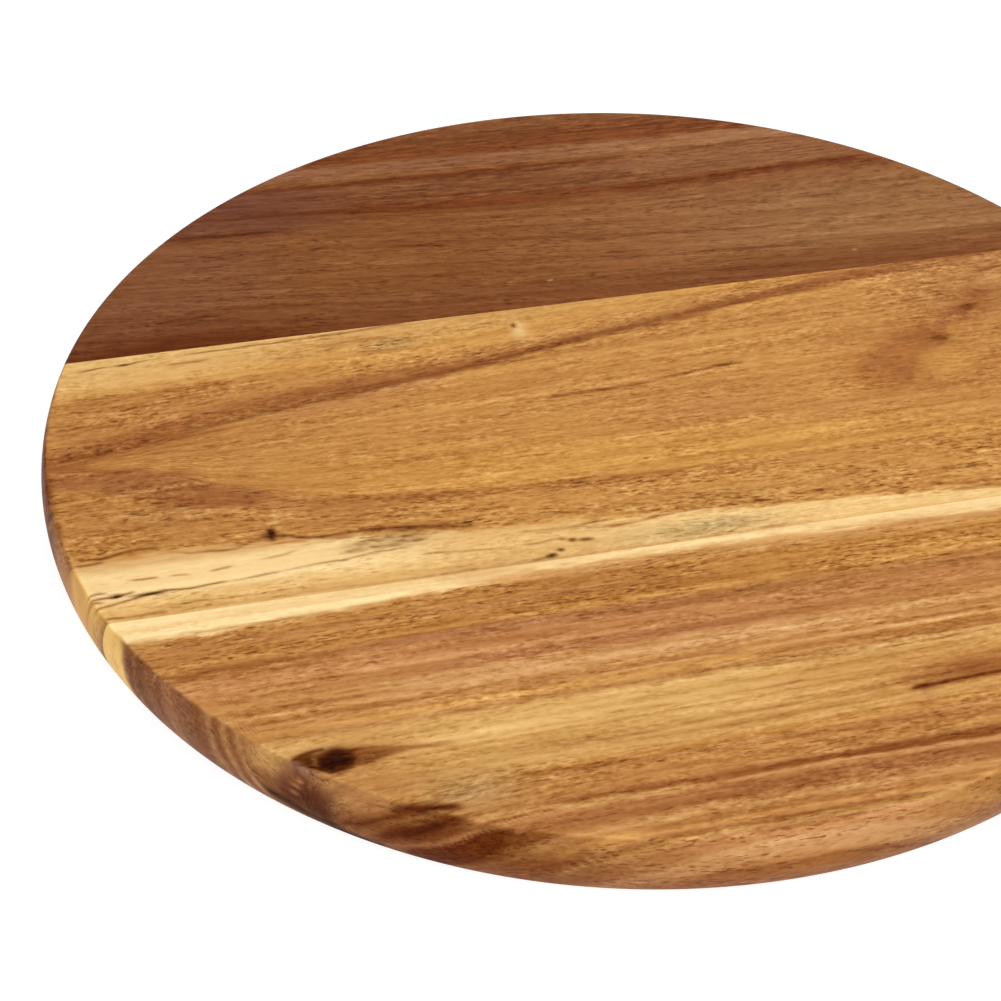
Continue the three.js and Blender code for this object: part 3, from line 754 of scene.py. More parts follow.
        (BRICK, 0.95, streak, [(-87, 11.4), (-80, 7.2), (-75, 3.8), (-72, 1.8), (-66.5, -0.8)], 1.9, 2.3, 4),
        (MAROON, 0.6, streak, [(-83, 8.6), (-80, 6.8), (-75, 3.6), (-71, 1)], 0.9, 1.2, 3),
        (BRICK, 0.9, zone, FIELD_TOP, FIELD_BOTTOM, 0.6, -79, -60, 3),
        (BISCUIT, 0.5, crack, [(-85, 14), (-79, 10.6), (-73.4, 7), (-69.4, 4), (-64, 0.2)], 0.8, 0.8, 3),
        (UMBER, 0.7, streak, [(-69, 13), (-64, 8.4), (-60, 3.9), (-56, 1.4), (-52, -0.4)], 0.9, 0.9, 3),
        (RUSSET, 0.55, streak, [(-64, 12.6), (-56, 9), (-49, 5.8), (-42, 3.2)], 2.4, 2.0, 4),
        (SAND, 0.6, streak, [(-52, 11.6), (-49.4, 9.7), (-44.9, 5.1), (-40, 2), (-36, 0)], 0.6, 0.6, 3),
        # to the right the edge is pale at the top and redder at the bottom
        (PEACH, 0.6, spot, (3, 1.4), (28, 4.6), 3.0),
        (HONEY, 0.55, spot, (37, 5), (12, 6)),
        (RUST, 0.6, streak, [(-44, 14), (-15, 13), (10, 12), (40, 11.4), (70, 11)], 4, 3.2, 14),
    ],
}

# The back stave: dark reddish brown

BACK = {
    "seed": 300,
    "pith": (250.0, 45.0),
    "guides": [
        [(-150, 46), (-60, 38), (150, 30)],
        [(-150, 69), (-100, 62), (-60, 57), (0, 50), (80, 44), (150, 40)],
        [(-150, 99), (-110, 96), (-60, 91), (0, 83.5), (40, 79), (100, 76), (150, 75)],
        [(-150, 114), (-100, 109), (-60, 104), (-20, 99.5), (20, 98.6), (60, 100.4), (105, 102.5),
         (150, 104)],
        [(-150, 122), (-85, 119), (0, 117), (90, 116), (150, 116)],
        [(-150, 133), (-55, 130), (0, 128), (75, 125.5), (150, 124)],
        level(150),
    ],
    "follow": 1.0,
    "tongues": 0.7,
    "lines": 0.07,
    "bands": [
        (36, WALNUT), (48, WALNUT), (58, COCOA), (94, COCOA), (97, RUSSET), (100, RUSSET), (103, WALNUT),
        (114, WALNUT), (116.4, RUSSET), (117.4, RUSSET), (119.4, COCOA), (122, DUSK), (126.6, DUSK),
        (128.4, RUSSET), (132, RUSSET), (142, WALNUT), (150, COCOA),
    ],
    "zones": [
        (TAN, 0.42, zone, level(54), level(99), 16, 6, 170, 70),
        (TAN, 0.5, zone, level(102), level(121), 6, 22, 170, 60),
        (TAN, 0.85, zone, level(118.5), [(-150, 132), (0, 127), (150, 124)], 4, 18, 170, 60),
        (TAN, 0.25, zone, level(120), [(-150, 132), (0, 127), (150, 124)], 4, -70, 30, 30),
        (OLIVE, 0.16, zone, level(54), level(90), 12, 50, 170, 50),
        (COPPER, 0.1, zone, level(118), level(160), 6, -100, 60, 40),
        (PLUM, 0.8, zone, [(-150, 102), (-60, 94)], [(-150, 124), (-60, 118)], 6, -170, -66, 40),
        (DUSK, 0.42, zone, level(62), [(-150, 98), (-60, 92)], 8, -170, -84, 40),
        (PLUM, 0.2, zone, level(62), [(-150, 98), (-60, 92)], 8, -170, -84, 40),
        (PLUM, 0.3, zone, level(42), level(60), 8, -170, -100, 30),
        (BRICK, 0.8, spot, (-112, 44), (36, 7)),
        (RUSSET, 0.25, spot, (-15, 45), (70, 7)),
        (WALNUT, 0.6, zone, level(30), level(54), 8, 30, 170, 40),
        (RUSSET, 0.55, spot, (-30, 102), (24, 5)),
    ],
    "marks": [
        (BRICK, 0.32, spot, (-95, 96.2), (17, 2.4)),
        (BRICK, 0.15, streak, [(-90, 119.4), (-50, 118.4), (0, 116.8), (32, 116.6)], 1.1, 1.3, 20),
        (MAROON, 0.2, streak, [(-70, 118.6), (-48, 118.4), (-30, 118)], 0.7, 0.7, 8),
        (BRICK, 0.6, streak, [(6, 116.8), (18, 116.9), (32, 116.9)], 0.6, 0.6, 5),
        (MAROON, 0.42, streak, [(-115, 97.4), (-104, 97.2), (-92, 96.6), (-76, 95.4)], 1.1, 0.8, 10),
        (BRICK, 0.45, streak, [(-104, 106.8), (-88, 105.2), (-70, 104.4), (-50, 102.4)], 0.8, 0.8, 8),
        (BRICK, 0.5, streak, [(-86, 113.4), (-70, 112.6), (-50, 112)], 0.8, 0.8, 8),
        (BRICK, 0.6, streak, [(20, 98.4), (36, 98.8), (52, 99.6), (66, 100.4)], 2.0, 2.4, 10),
        (BRICK, 0.65, streak, [(56, 100.4), (76, 101.2), (92, 101.6), (110, 101.8)], 1.2, 2.4, 10),
        (BRICK, 0.6, spot, (-33, 101.2), (4, 1.0)),
        (TAN, 0.6, streak, [(-38, 103.4), (-30, 102.6), (-24, 103.4)], 0.4, 0.4, 3),
        (BRICK, 0.65, streak, [(-72, 84.6), (-66, 84.2), (-58, 83.2)], 0.5, 0.5, 3),
        (BRICK, 0.5, streak, [(-52, 83.8), (-44, 84.4), (-36, 83.4)], 0.5, 0.5, 3),
        (BRICK, 0.6, streak, [(-50, 81.8), (-38, 79.8), (-24, 78)], 0.6, 0.5, 5),
        (BRICK, 0.5, streak, [(-80, 66.8), (-64, 65), (-48, 62.6)], 0.5, 0.5, 5),
        (BRICK, 0.6, streak, [(-104, 60.6), (-96, 59.6), (-84, 58.4), (-72, 57)], 0.6, 0.5, 5),
        (BRICK, 0.7, streak, [(-40, 64.4), (-32, 63.4), (-26, 62)], 0.5, 0.5, 3),
        (BRICK, 0.5, streak, [(-118, 57.4), (-106, 56.8), (-98, 57)], 0.6, 0.6, 4),
        (BRICK, 0.55, streak, [(10, 65.4), (24, 64), (34, 62.8)], 0.6, 0.5, 5),
        (BRICK, 0.65, spot, (41, 60.2), (3.4, 0.6)),
        (BRICK, 0.5, streak, [(44, 59.8), (58, 58.4), (72, 57.2)], 0.8, 0.8, 6),
        (BRICK, 0.6, streak, [(52, 85.2), (58, 84.8), (66, 86.4)], 0.5, 0.5, 3),
        (BRICK, 0.45, streak, [(0, 73.6), (16, 72.6), (36, 72.6)], 0.6, 0.6, 6),
        (MAROON, 0.55, spot, (5.2, 55.2), (0.6, 1.2)),
        (MAROON, 0.6, spot, (8, 53.4), (1.6, 0.5)),
        (BRICK, 0.7, spot, (17, 123.9), (1.6, 0.5)),
        (BRICK, 0.6, spot, (5, 141.4), (1.6, 0.4)),
        (STRAW, 0.6, spot, (16.2, 126.4), (0.5, 0.9)),
        (STRAW, 0.7, spot, (-7, 55), (0.4, 0.4)),
        (STRAW, 0.8, spot, (-17.6, 56), (0.6, 0.6)),
        (STRAW, 0.6, spot, (82.4, 52), (0.4, 0.5)),
        (TAN, 0.5, streak, [(-60, 97.6), (-54, 97), (-50, 96.6)], 0.4, 0.4, 2),
    ],
    "surface": [
        ((1.2, 0.35), 0.9, zone, level(98), level(160), 6, -60, 170, 40),
        ((1.1, 0.35), 0.8, zone, level(62), level(98), 8, 50, 170, 40),
        ((0.8, 0.7), 0.8, zone, level(54), level(92), 10, -120, 60, 30),
    ],
    "plain": (0.7, 0.4),
    "hollows": [],
    "edge": [],
}

# How the wood of every stave varies: chance fields by length, width and strength, and their seeds
TONGUE_SIZES = [(14.0, 1.6, 0.6), (5.0, 0.7, 0.9), (2.4, 0.5, 0.5)]
LINE_SIZES = [(140.0, 2.3, 1.0), (60.0, 1.0, 1.0), (26.0, 0.75, 0.8)]
ZONE_TONGUES = 0.8
TONGUE_SEED = 5
ZONE_SEED = 10
LINE_SEED = 20
MARK_SEED = 30
RING_SEED = 40
EDGE_SEED = 50

# Marks: how far lines waver and where thin ones break
WAVER = 0.3
WAVER_SIZE = (3.5, 6.0)
BREAK_SIZE = (5.0, 2.5)
BREAK_LEVEL = 0.72
BREAK_SWING = 0.8
THIN_LINE = 0.75
MARK_DEPTH = 5.0

# Growth rings below the face, the sapwood's and the edge's own looks, and the painted highlight on the
# arrises
PITH_SOFTNESS = 4.0
UNDER_SOFTNESS = 16.0
SKIN = 2.0
SAP_GREEN = 196.0
HEART_SPAN = 40.0
SAP_LINES = 0.5
END_SOAK = np.array([0.38, 0.45, 0.4])
END_SAP_SOAK = np.array([0.08, 0.13, 0.24])
END_RINGS = 0.2
END_RING_WIDTH = 2.0
RING_CONTRAST = 2.2
EDGE_WARMTH = np.array([0.0, 0.02, 0.12])
SIDE_START = 0.2
SIDE_SPAN = 1.2
# how much lighter the arrises are painted: a painted highlight where the rounding catches the light, partly
# wear
ARRIS_HIGHLIGHT_AND_WEAR = 0.48
EDGE_TEXTURE = 0.25
EDGE_PORES = 0.7
PORE_GREEN = 60.0
PORE_SPAN = 60.0

# Glue lines: shares of texture and pores, and how uneven the shade is along them
GLUE_SURFACE = (0.3, 0.0)
GLUE_TONE = 0.1
GLUE_SPAN = 9.0
GLUE_SEED = 31


def add_marks(values, x, y, marks, keep, seed):
    """Paints each mark in turn. Lines waver and thin ones break a little, as real ones do."""
    waver = y + WAVER * cloud(x / WAVER_SIZE[0], y / WAVER_SIZE[1], seed)
    gaps = BREAK_LEVEL + BREAK_SWING * cloud(x / BREAK_SIZE[0], y / BREAK_SIZE[1], seed + 1)
    broken = np.clip(gaps, 0.0, 1.0)
    for over, strength, kind, *measures in marks:
        share = kind(x, y if kind is crack else waver, *measures) * strength * keep
        thin = kind is streak and measures[1] < THIN_LINE
        paint(values, over, share * broken if thin else share)


def ring_place(y, depth, side, pith):
    """Height on the face where the growth ring through a point below the face comes up. Rings are
    round about a pith line above the board, so the distance from that line grows with depth. The two
    halves of a ring blend over a short way on the edge and over a longer one on the underside."""
    line, height = pith
    off = y - line
    distance = np.sqrt(np.square(off) + 2 * height * depth + np.square(depth))
    softness = UNDER_SOFTNESS + (PITH_SOFTNESS - UNDER_SOFTNESS) * side
    return y + (line + distance * np.tanh(off / softness) - y) * ramp(depth / SKIN)


def stave_figure(stave, x, y, depth, side):
    """Colour, texture and pore shares, grain reading and relief at points of a stave. Shades go by
    grain reading. Zones, growth lines and marks that fade with depth come over them. Where the edge
    cuts across the fibres, the end grain soaks up oil and goes darker, heartwood more than sapwood,
    and shows its rings. The whole edge is warmer and has its own marks. Near its arrises it is painted
    lighter: a painted highlight where the rounding catches the light, and partly wear."""
    seed = stave["seed"]
    end = side * np.abs(x) / RADIUS
    y = ring_place(y, depth, side, stave["pith"])
    tongues = stave["tongues"] * clouds(x, y, TONGUE_SIZES, seed)
    grain = y + stave["follow"] * (reading(x, y, stave["guides"]) - y)
    steps = [step for step, shade in stave["bands"]]
    shades = np.array([shade for step, shade in stave["bands"]], float)
    rough = reading(x, y + tongues, stave["guides"])
    colour = np.stack([np.interp(rough, steps, channel) for channel in shades.T], -1)
    always = np.ones(len(x))
    spikes = ZONE_TONGUES * clouds(x, y, TONGUE_SIZES, seed + TONGUE_SEED)
    add_marks(colour, x, y + spikes, stave["zones"], always, seed + ZONE_SEED)
    heart = ramp((SAP_GREEN - colour[:, GREEN]) / HEART_SPAN)
    lines = stave["lines"] * clouds(x, grain, LINE_SIZES, seed + LINE_SEED)
    tone(colour, lines * (SAP_LINES + (1 - SAP_LINES) * heart))
    add_marks(colour, x, y, stave["marks"], np.exp(-depth / MARK_DEPTH), seed + MARK_SEED)
    colour *= 1 - (end * heart)[:, None] * END_SOAK - (end * (1 - heart))[:, None] * END_SAP_SOAK
    colour *= 1 - side[:, None] * EDGE_WARMTH
    rings = np.tanh(RING_CONTRAST * cloud(0 * x, grain / END_RING_WIDTH, seed + RING_SEED))
    tone(colour, END_RINGS * end * heart * rings)
    # painted highlight along the arrises, where the rounding catches the light, partly wear too
    tone(colour, ARRIS_HIGHLIGHT_AND_WEAR * side * (1 - side))
    add_marks(colour, x, depth, stave["edge"], side, seed + EDGE_SEED)

    surface = always[:, None] * np.array(stave["plain"])
    add_marks(surface, x, y + tongues, stave["surface"], always, seed + ZONE_SEED)
    surface *= 1 - EDGE_TEXTURE * side[:, None]
    paler = ramp((colour[:, GREEN] - PORE_GREEN) / PORE_SPAN)
    surface[:, PORES] += EDGE_PORES * (side - end) * paler
    relief = np.zeros((len(x), 1))
    add_marks(relief, x, y, stave["hollows"], always, seed + MARK_SEED)
    return colour, surface, grain, relief[:, 0]


def glue_figure(shade, x, y, depth, side):
    """The figure of a glue line: one shade, a little uneven along its length, with little texture
    and no relief."""
    colour = np.ones((len(x), 1)) * np.array(shade, float)
    tone(colour, GLUE_TONE * cloud(x / GLUE_SPAN, y, GLUE_SEED))
    surface = np.ones((len(x), 1)) * np.array(GLUE_SURFACE)
    return colour, surface, y, np.zeros(len(x))


# Surfaces

def edge_profile():
    """Radius and height of the turned edge from the upper flat to the lower one: an arris arc,
    the swell and an arris arc, each a sweep of angles about its own centre."""
    upper = np.linspace(math.pi / 2, ARRIS_TURN, ARRIS_STEPS + 1)
    swell = np.linspace(ARRIS_TURN, -ARRIS_TURN, SWELL_STEPS + 1)[1:-1]
    lower = -upper[::-1]
    radius = np.concatenate([
        FLAT_RADIUS + ARRIS_RADIUS * np.cos(upper),
        SWELL_CENTRE + SWELL_RADIUS * np.cos(swell),
        FLAT_RADIUS + ARRIS_RADIUS * np.cos(lower),
    ])
    height = np.concatenate([
        THICKNESS - ARRIS_RADIUS + ARRIS_RADIUS * np.sin(upper),
        HALF + SWELL_RADIUS * np.sin(swell),
        ARRIS_RADIUS + ARRIS_RADIUS * np.sin(lower),
    ])
    return radius, height


def crowded(start, end, count, places):
    """Numbers from start to end that stand closer together at crowded places: even steps of the
    running sum of a density, which is 1 and rises as a bell at each place."""
    fine = np.linspace(start, end, CROWD_STEPS)
    density = np.ones(CROWD_STEPS)
    for centre, half, weight in places:
        density += weight * np.exp(-np.square((fine - centre) / half))
    total = np.concatenate([[0.0], np.cumsum((density[1:] + density[:-1]) / 2)])
    return np.interp(np.linspace(0, total[-1], count), total, fine)


def ring_faces(rows, columns):
    """Four-sided faces of a grid whose rows close into a ring and whose columns don't."""
    row, column = np.meshgrid(np.arange(rows), np.arange(columns - 1), indexing="ij")
    below = (row + 1) % rows
    starts = np.stack([row, below, below, row], -1) * columns
    return starts + np.stack([column, column, column + 1, column + 1], -1)


def flat_rows(rim, face, shares, z):
    """Rows of a flat face between a glue face and the rim, each a share of the way to the rim."""
    x = np.broadcast_to(rim[:, 0], (len(shares), len(rim)))
    y = face + (rim[:, 1] - face) * shares[:, None]
    return np.stack([x, y, np.full(x.shape, z)], -1)


def rim_stave(face, outward, places):
    """Points and faces of a stave between a glue face and the rim. Columns stand at angles of the
    rim. Each is a loop: over the top from the glue face to the rim, down the edge profile and back
    underneath. The angles of a profile ring end where that ring meets the glue face."""
    radius, height = edge_profile()
    full_turn = 2 * math.pi if outward == TO_FRONT else 0.0
    first = math.pi - math.asin(face / radius[0])
    last = math.asin(face / radius[0]) + full_turn
    marks = [(abs(full_turn - math.acos(x / RADIUS)), half / RADIUS, weight) for x, half, weight in places]
    across = (crowded(first, last, RIM_COLUMNS, marks) - first) / (last - first)
    end = np.arcsin(face / radius)[:, None]
    left = math.pi - end
    right = end + full_turn
    angle = left + (right - left) * across
    edge = np.stack([radius[:, None] * np.cos(angle), radius[:, None] * np.sin(angle)], -1)
    edge = np.concatenate([edge, np.broadcast_to(height[:, None, None], edge.shape[:2] + (1,))], -1)

    over = flat_rows(edge[0], face, np.linspace(0, 1, RIM_ROWS)[:-1], THICKNESS)
    under = flat_rows(edge[-1], face, np.linspace(1, 0, RIM_UNDER_ROWS)[1:], 0.0)
    points = np.concatenate([over, edge, under])
    faces = ring_faces(len(points), RIM_COLUMNS).reshape(-1, 4).tolist()
    first_edge = np.arange(len(over), len(over) + len(edge)) * RIM_COLUMNS
    faces += [first_edge[::-1].tolist(), (first_edge + RIM_COLUMNS - 1).tolist()]
    return points.reshape(-1, 3), faces


def slab(front, back, rows, places):
    """Points and faces of a slice of the board between two planes along the grain. Each row is a
    loop in a plane of its own: the top from left to right, the right edge, the underside from right
    to left and the left edge, with each profile radius cut by that plane."""
    y = np.linspace(front, back, rows)[:, None]
    radius, height = edge_profile()
    reach = np.sqrt(np.square(radius) - np.square(y))
    columns = crowded(-RADIUS, RADIUS, SLAB_COLUMNS, places) / RADIUS
    over = reach[:, :1] * columns[:-1]
    under = reach[:, -1:] * np.linspace(1, -1, SLAB_UNDER_COLUMNS)[1:-1]
    x = np.concatenate([over, reach, under, -reach[:, ::-1][:, :-1]], 1)
    z = np.concatenate([
        np.full(over.shape[1], THICKNESS), height, np.full(under.shape[1], 0.0), height[::-1][:-1],
    ])
    points = np.stack(np.broadcast_arrays(x, y, z), -1)
    count = points.shape[1]
    faces = ring_faces(count, rows)
    column, row = faces // rows, faces % rows
    faces = (row * count + column).reshape(-1, 4)[:, ::-1].tolist()
    caps = [list(range(count)), list(range((rows - 1) * count, rows * count))[::-1]]
    return points.reshape(-1, 3), faces + caps


def piece(name, shape, figure, material):
    """Mesh object of a surface, welded, with the figure of its wood at every point."""
    points, faces = shape
    mesh = bpy.data.meshes.new(name)
    mesh.from_pydata(points * MM, [], faces)
    welded = bmesh.new()
    welded.from_mesh(mesh)
    bmesh.ops.remove_doubles(welded, verts=welded.verts, dist=WELD)
    bmesh.ops.recalc_face_normals(welded, faces=welded.faces)
    welded.to_mesh(mesh)
    welded.free()

    place = np.empty(len(mesh.vertices) * 3)
    mesh.vertices.foreach_get("co", place)
    place = place.reshape(-1, 3) / MM
    x, y, z = place.T
    out = np.hypot(x, y)
    side = ramp((out - FLAT_RADIUS + SIDE_START) / SIDE_SPAN)
    colour, surface, grain, relief = figure(x, y, THICKNESS - z, side)
    shade = np.concatenate([linear(colour), surface[:, :1]], 1)
    along = np.stack([x, grain, z], 1)
    on_top = (z > THICKNESS - WELD / MM) & (out < FLAT_RADIUS - RELIEF_MARGIN)
    mesh.color_attributes.new("figure", "FLOAT_COLOR", "POINT").data.foreach_set("color", shade.ravel())
    mesh.attributes.new("grain", "FLOAT_VECTOR", "POINT").data.foreach_set("vector", along.ravel())
    mesh.attributes.new("pores", "FLOAT", "POINT").data.foreach_set("value", surface[:, PORES].copy())
    place[:, 2] += relief * on_top
    mesh.vertices.foreach_set("co", (place * MM).ravel())
    mesh.polygons.foreach_set("use_smooth", np.ones(len(mesh.polygons), bool))
    mesh.set_sharp_from_angle(angle=SHARP)
    mesh.materials.append(material)
    made = bpy.data.objects.new(name, mesh)
    bpy.context.scene.collection.objects.link(made)
    return made


# Materials

def node(tree, kind, **settings):
    """A new node of a tree, with its settings."""
    made = tree.nodes.new(kind)
    for key, value in settings.items():
        setattr(made, key, value)
    return made


def stretched_noise(tree, coordinates, cells):
    """Noise drawn out along the grain, with cells of this length, width and detail."""
    length, width, detail = cells
    mapping = node(tree, "ShaderNodeMapping")
    mapping.inputs["Scale"].default_value = (1 / length, 1 / width, 1 / width)
    noise = node(tree, "ShaderNodeTexNoise")
    noise.inputs["Scale"].default_value = 1.0
    noise.inputs["Detail"].default_value = detail
    noise.inputs["Roughness"].default_value = NOISE_ROUGHNESS
    tree.links.new(coordinates, mapping.inputs["Vector"])
    tree.links.new(mapping.outputs["Vector"], noise.inputs["Vector"])
    return noise.outputs["Fac"]


def ranged(tree, value, low, high, to_low, to_high):
    """A value's span mapped smoothly to another span."""
    made = node(tree, "ShaderNodeMapRange", interpolation_type="SMOOTHSTEP")
    sockets = ("From Min", "From Max", "To Min", "To Max")
    for socket, number in zip(sockets, (low, high, to_low, to_high)):
        made.inputs[socket].default_value = number
    tree.links.new(value, made.inputs["Value"])
    return made.outputs["Result"]


def combined(tree, operation, first, second):
    """Two values, or a value and a number, combined by one operation."""
    made = node(tree, "ShaderNodeMath", operation=operation)
    for socket, value in zip(made.inputs, (first, second)):
        if isinstance(value, (int, float)):
            socket.default_value = value
        else:
            tree.links.new(value, socket)
    return made.outputs["Value"]


def swing(tree, noise, depth):
    """A noise about its middle, times a depth."""
    return combined(tree, "MULTIPLY", combined(tree, "SUBTRACT", noise, NOISE_MIDDLE), depth)


def wood(name, roughness, mottle_cells=SHORT_MOTTLE, speck_depth=SPECK_DEPTH):
    """Oiled wood: the figure's colour, with mottle, fibres and specks along the grain in patches of
    calm and lively wood, light and dark flecks, and darker open pores. A darker place both returns
    less light and soaks deeper, which a power of the colour gives. Fibres vary the roughness, the
    gloss is satin but dull on cracks and knots, and the texture has a slight relief."""
    material = bpy.data.materials.new(name)
    material.use_nodes = True
    tree = material.node_tree
    shader = tree.nodes["Principled BSDF"]
    figure = node(tree, "ShaderNodeAttribute", attribute_name="figure")
    grain = node(tree, "ShaderNodeAttribute", attribute_name="grain").outputs["Vector"]
    open_share = node(tree, "ShaderNodeAttribute", attribute_name="pores").outputs["Fac"]
    mottle = stretched_noise(tree, grain, mottle_cells)
    specks = stretched_noise(tree, grain, SPECKS)
    fibres = stretched_noise(tree, grain, FIBRES)
    pits = stretched_noise(tree, grain, PITS)
    drifts = stretched_noise(tree, grain, DRIFTS)
    glints = stretched_noise(tree, grain, GLINTS)
    patches = ranged(tree, drifts, *PORE_DRIFTS)
    pores = combined(tree, "MULTIPLY", ranged(tree, pits, *PIT_SHARES), patches)
    pores = combined(tree, "MULTIPLY", pores, open_share)

    texture = combined(tree, "ADD", swing(tree, mottle, MOTTLE_DEPTH), swing(tree, fibres, FIBRE_DEPTH))
    texture = combined(tree, "ADD", texture, swing(tree, specks, speck_depth))
    texture = combined(tree, "MULTIPLY", texture, ranged(tree, drifts, *LIVELY_DRIFTS))
    light = ranged(tree, glints, *LIGHT_FLECKS)
    flecks = combined(tree, "SUBTRACT", light, ranged(tree, glints, *DARK_FLECKS))
    texture = combined(tree, "ADD", texture, combined(tree, "MULTIPLY", flecks, FLECK_DEPTH))
    texture = combined(tree, "MULTIPLY", texture, figure.outputs["Alpha"])
    texture = combined(tree, "SUBTRACT", texture, combined(tree, "MULTIPLY", pores, PORE_DEPTH))
    soak = node(tree, "ShaderNodeGamma")
    tree.links.new(figure.outputs["Color"], soak.inputs["Color"])
    tree.links.new(combined(tree, "SUBTRACT", 1.0, texture), soak.inputs["Gamma"])
    shade = node(tree, "ShaderNodeVectorMath", operation="SCALE")
    tree.links.new(soak.outputs["Color"], shade.inputs["Vector"])
    tree.links.new(combined(tree, "ADD", 1.0, texture), shade.inputs["Scale"])
    tree.links.new(shade.outputs["Vector"], shader.inputs["Base Color"])

    sheen = ranged(tree, fibres, *FIBRE_SPAN, roughness + ROUGHER, roughness - SMOOTHER)
    tree.links.new(sheen, shader.inputs["Roughness"])
    brightness = node(tree, "ShaderNodeRGBToBW")
    tree.links.new(figure.outputs["Color"], brightness.inputs["Color"])
    value = brightness.outputs["Val"]
    gloss = ranged(tree, value, DULL_BRIGHTNESS, SATIN_BRIGHTNESS, DULL_GLOSS, SATIN_GLOSS)
    tree.links.new(gloss, shader.inputs["Specular IOR Level"])
    bump = node(tree, "ShaderNodeBump")
    bump.inputs["Strength"].default_value = BUMP_STRENGTH
    bump.inputs["Distance"].default_value = BUMP_DEPTH
    tree.links.new(texture, bump.inputs["Height"])
    tree.links.new(bump.outputs["Normal"], shader.inputs["Normal"])
    return material


# Light, floor and camera

def seen_rays(tree):
    """1 for rays from the camera, from a reflection or through glass, 0 for lighting rays."""
    path = node(tree, "ShaderNodeLightPath")
    seen = combined(tree, "MAXIMUM", path.outputs["Is Camera Ray"], path.outputs["Is Glossy Ray"])
    return combined(tree, "MAXIMUM", seen, path.outputs["Is Transmission Ray"])


def mixed(tree, lighting, seen, output):
    """One shader for lighting rays and another where the surroundings are seen."""
    mix = node(tree, "ShaderNodeMixShader")
    tree.links.new(seen_rays(tree), mix.inputs["Fac"])
    tree.links.new(lighting, mix.inputs[1])
    tree.links.new(seen, mix.inputs[2])
    tree.links.new(mix.outputs["Shader"], output.inputs["Surface"])


def set_world():
    """Even white surroundings: soft light on the board, plain white where they are seen."""
    world = bpy.data.worlds.new("studio")
    bpy.context.scene.world = world
    world.use_nodes = True
    tree = world.node_tree
    tree.nodes.clear()
    light = node(tree, "ShaderNodeBackground")
    light.inputs["Strength"].default_value = SKY_LIGHT
    white = node(tree, "ShaderNodeBackground")
    white.inputs["Color"].default_value = WHITE
    output = node(tree, "ShaderNodeOutputWorld")
    mixed(tree, light.outputs["Background"], white.outputs["Background"], output)


def matt(tree, brightness):
    """A matt grey shader of this brightness."""
    made = node(tree, "ShaderNodeBsdfDiffuse")
    made.inputs["Color"].default_value = (brightness, brightness, brightness, 1)
    return made.outputs["BSDF"]


def make_floor():
    """White floor. Where it is seen, most of its white is its own, so the board's shadow is light."""
    mesh = bpy.data.meshes.new("floor")
    turns = ((-1, -1), (1, -1), (1, 1), (-1, 1))
    corners = [(x * FLOOR_HALF, y * FLOOR_HALF, -FLOOR_DROP) for x, y in turns]
    mesh.from_pydata(corners, [], [(0, 1, 2, 3)])
    material = bpy.data.materials.new("floor_white")
    material.use_nodes = True
    tree = material.node_tree
    tree.nodes.clear()
    bounce = matt(tree, FLOOR_BOUNCE)
    paper = matt(tree, FLOOR_SHADE)
    glow = node(tree, "ShaderNodeEmission")
    glow.inputs["Strength"].default_value = FLOOR_GLOW
    seen = node(tree, "ShaderNodeAddShader")
    tree.links.new(paper, seen.inputs[0])
    tree.links.new(glow.outputs["Emission"], seen.inputs[1])
    output = node(tree, "ShaderNodeOutputMaterial")
    mixed(tree, bounce, seen.outputs["Shader"], output)
    mesh.materials.append(material)
    floor = bpy.data.objects.new("floor", mesh)
    bpy.context.scene.collection.objects.link(floor)


def make_lamp(name, place, size, power):
    """A square soft lamp that faces the middle of the board."""
    light = bpy.data.lights.new(name, "AREA")
    light.shape = "SQUARE"
    light.size = size
    light.energy = power
    lamp = bpy.data.objects.new(name, light)
    lamp.location = place
    x, y, z = place
    lamp.rotation_euler = (math.atan2(math.hypot(x, y), z), 0.0, math.atan2(x, -y))
    bpy.context.scene.collection.objects.link(lamp)


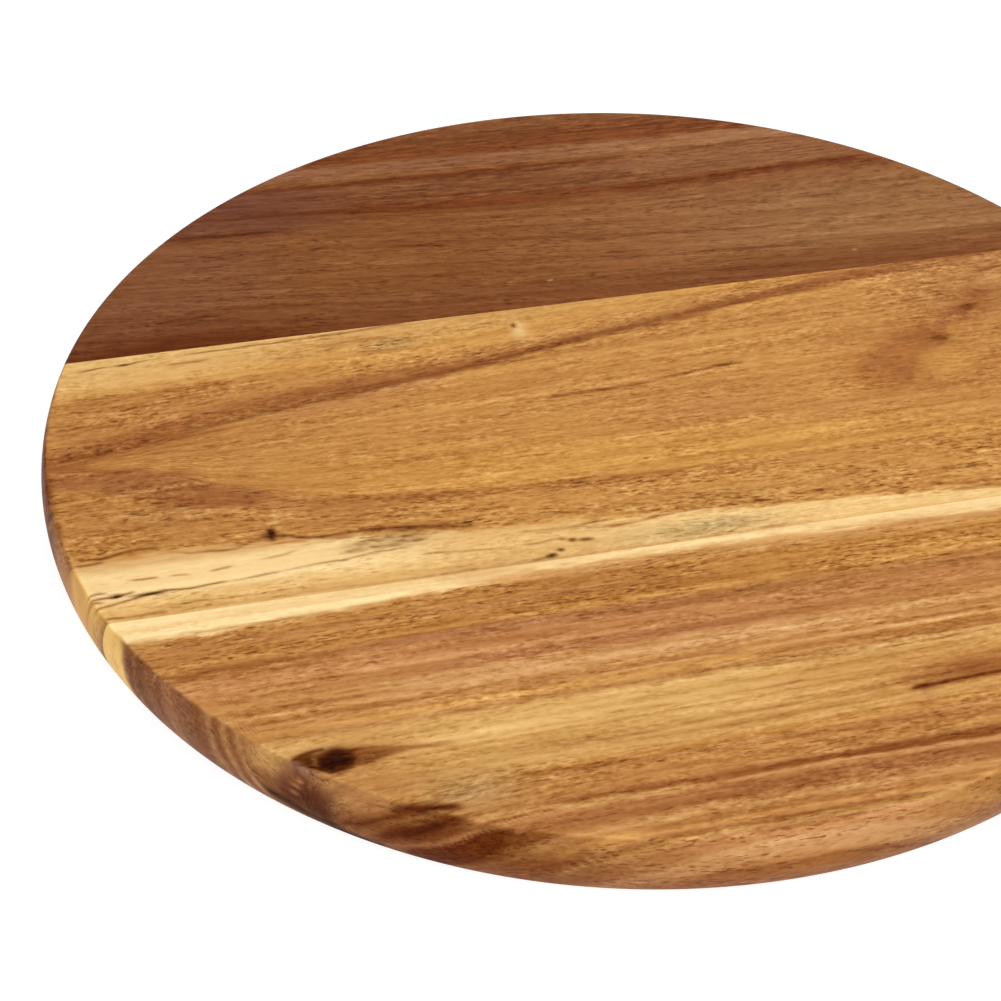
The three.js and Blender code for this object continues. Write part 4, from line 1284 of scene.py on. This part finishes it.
def make_camera():
    """The camera stands back from the board's upper face along its view line, so that the middle of
    that face falls on its pixel. Its right, up and forward directions come from the two angles."""
    turn, rise = VIEW_TURN, VIEW_ELEVATION
    level_ahead = math.cos(rise)
    forward = np.array([-math.sin(turn) * level_ahead, math.cos(turn) * level_ahead, -math.sin(rise)])
    right = np.array([math.cos(turn), math.sin(turn), 0.0])
    up = np.cross(right, forward)
    centre = IMAGE_WIDTH / 2
    sideways = (FACE_PIXEL[0] - centre) / FOCAL_PIXELS
    upwards = (centre - FACE_PIXEL[1]) / FOCAL_PIXELS
    sight = forward + sideways * right + upwards * up
    data = bpy.data.cameras.new("camera")
    data.sensor_width = SENSOR_WIDTH
    data.lens = FOCAL_PIXELS * SENSOR_WIDTH / IMAGE_WIDTH
    data.clip_start = NEAR_CLIP
    camera = bpy.data.objects.new("camera", data)
    camera.location = np.array([0, 0, THICKNESS * MM]) - VIEW_DEPTH * sight
    camera.rotation_euler = (math.pi / 2 - rise, 0.0, turn)
    bpy.context.scene.collection.objects.link(camera)
    bpy.context.scene.camera = camera


# The board

def front_stave():
    """The striped stave, from its glue face to the front of the rim."""
    shape = rim_stave(FRONT_FACE, TO_FRONT, CROWDED_FRONT)
    finish = wood("striped_oiled_wood", WOOD_ROUGHNESS, STRIPE_MOTTLE)
    return piece("front_stave_wood", shape, partial(stave_figure, FRONT), finish)


def front_glue_line():
    """The pale film of glue between the striped stave and the golden one."""
    shape = slab(FRONT_FACE, MIDDLE_FRONT, GLUE_ROWS, CROWDED_MIDDLE)
    finish = wood("pale_set_glue", GLUE_ROUGHNESS)
    return piece("front_glue_film", shape, partial(glue_figure, SAND), finish)


def middle_stave():
    """The golden stave, between its two glue faces."""
    shape = slab(MIDDLE_FRONT, MIDDLE_BACK, SLAB_ROWS, CROWDED_MIDDLE)
    finish = wood("golden_oiled_wood", WOOD_ROUGHNESS)
    return piece("middle_stave_wood", shape, partial(stave_figure, MIDDLE), finish)


def back_glue_line():
    """The dark film of glue between the golden stave and the dark one."""
    shape = slab(MIDDLE_BACK, BACK_FACE, GLUE_ROWS, CROWDED_MIDDLE)
    finish = wood("dark_set_glue", GLUE_ROUGHNESS)
    return piece("back_glue_film", shape, partial(glue_figure, UMBER), finish)


def back_stave():
    """The dark stave, from its glue face to the back of the rim."""
    shape = rim_stave(BACK_FACE, TO_BACK, CROWDED_BACK)
    finish = wood("dark_oiled_wood", WOOD_ROUGHNESS, LONG_MOTTLE, FAINT_SPECKS)
    return piece("back_stave_wood", shape, partial(stave_figure, BACK), finish)


def make_board():
    """The five pieces from front to back, each in place of its solid."""
    made = {
        "front_stave": front_stave(),
        "front_glue_line": front_glue_line(),
        "middle_stave": middle_stave(),
        "back_glue_line": back_glue_line(),
        "back_stave": back_stave(),
    }
    for name, made_piece in made.items():
        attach(made_piece, "root")
        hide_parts(name)


make_camera()
set_world()
make_floor()
make_lamp("key_lamp", **KEY_LAMP)
make_lamp("fill_lamp", **FILL_LAMP)
make_board()
bpy.context.scene.view_settings.view_transform = "Standard"
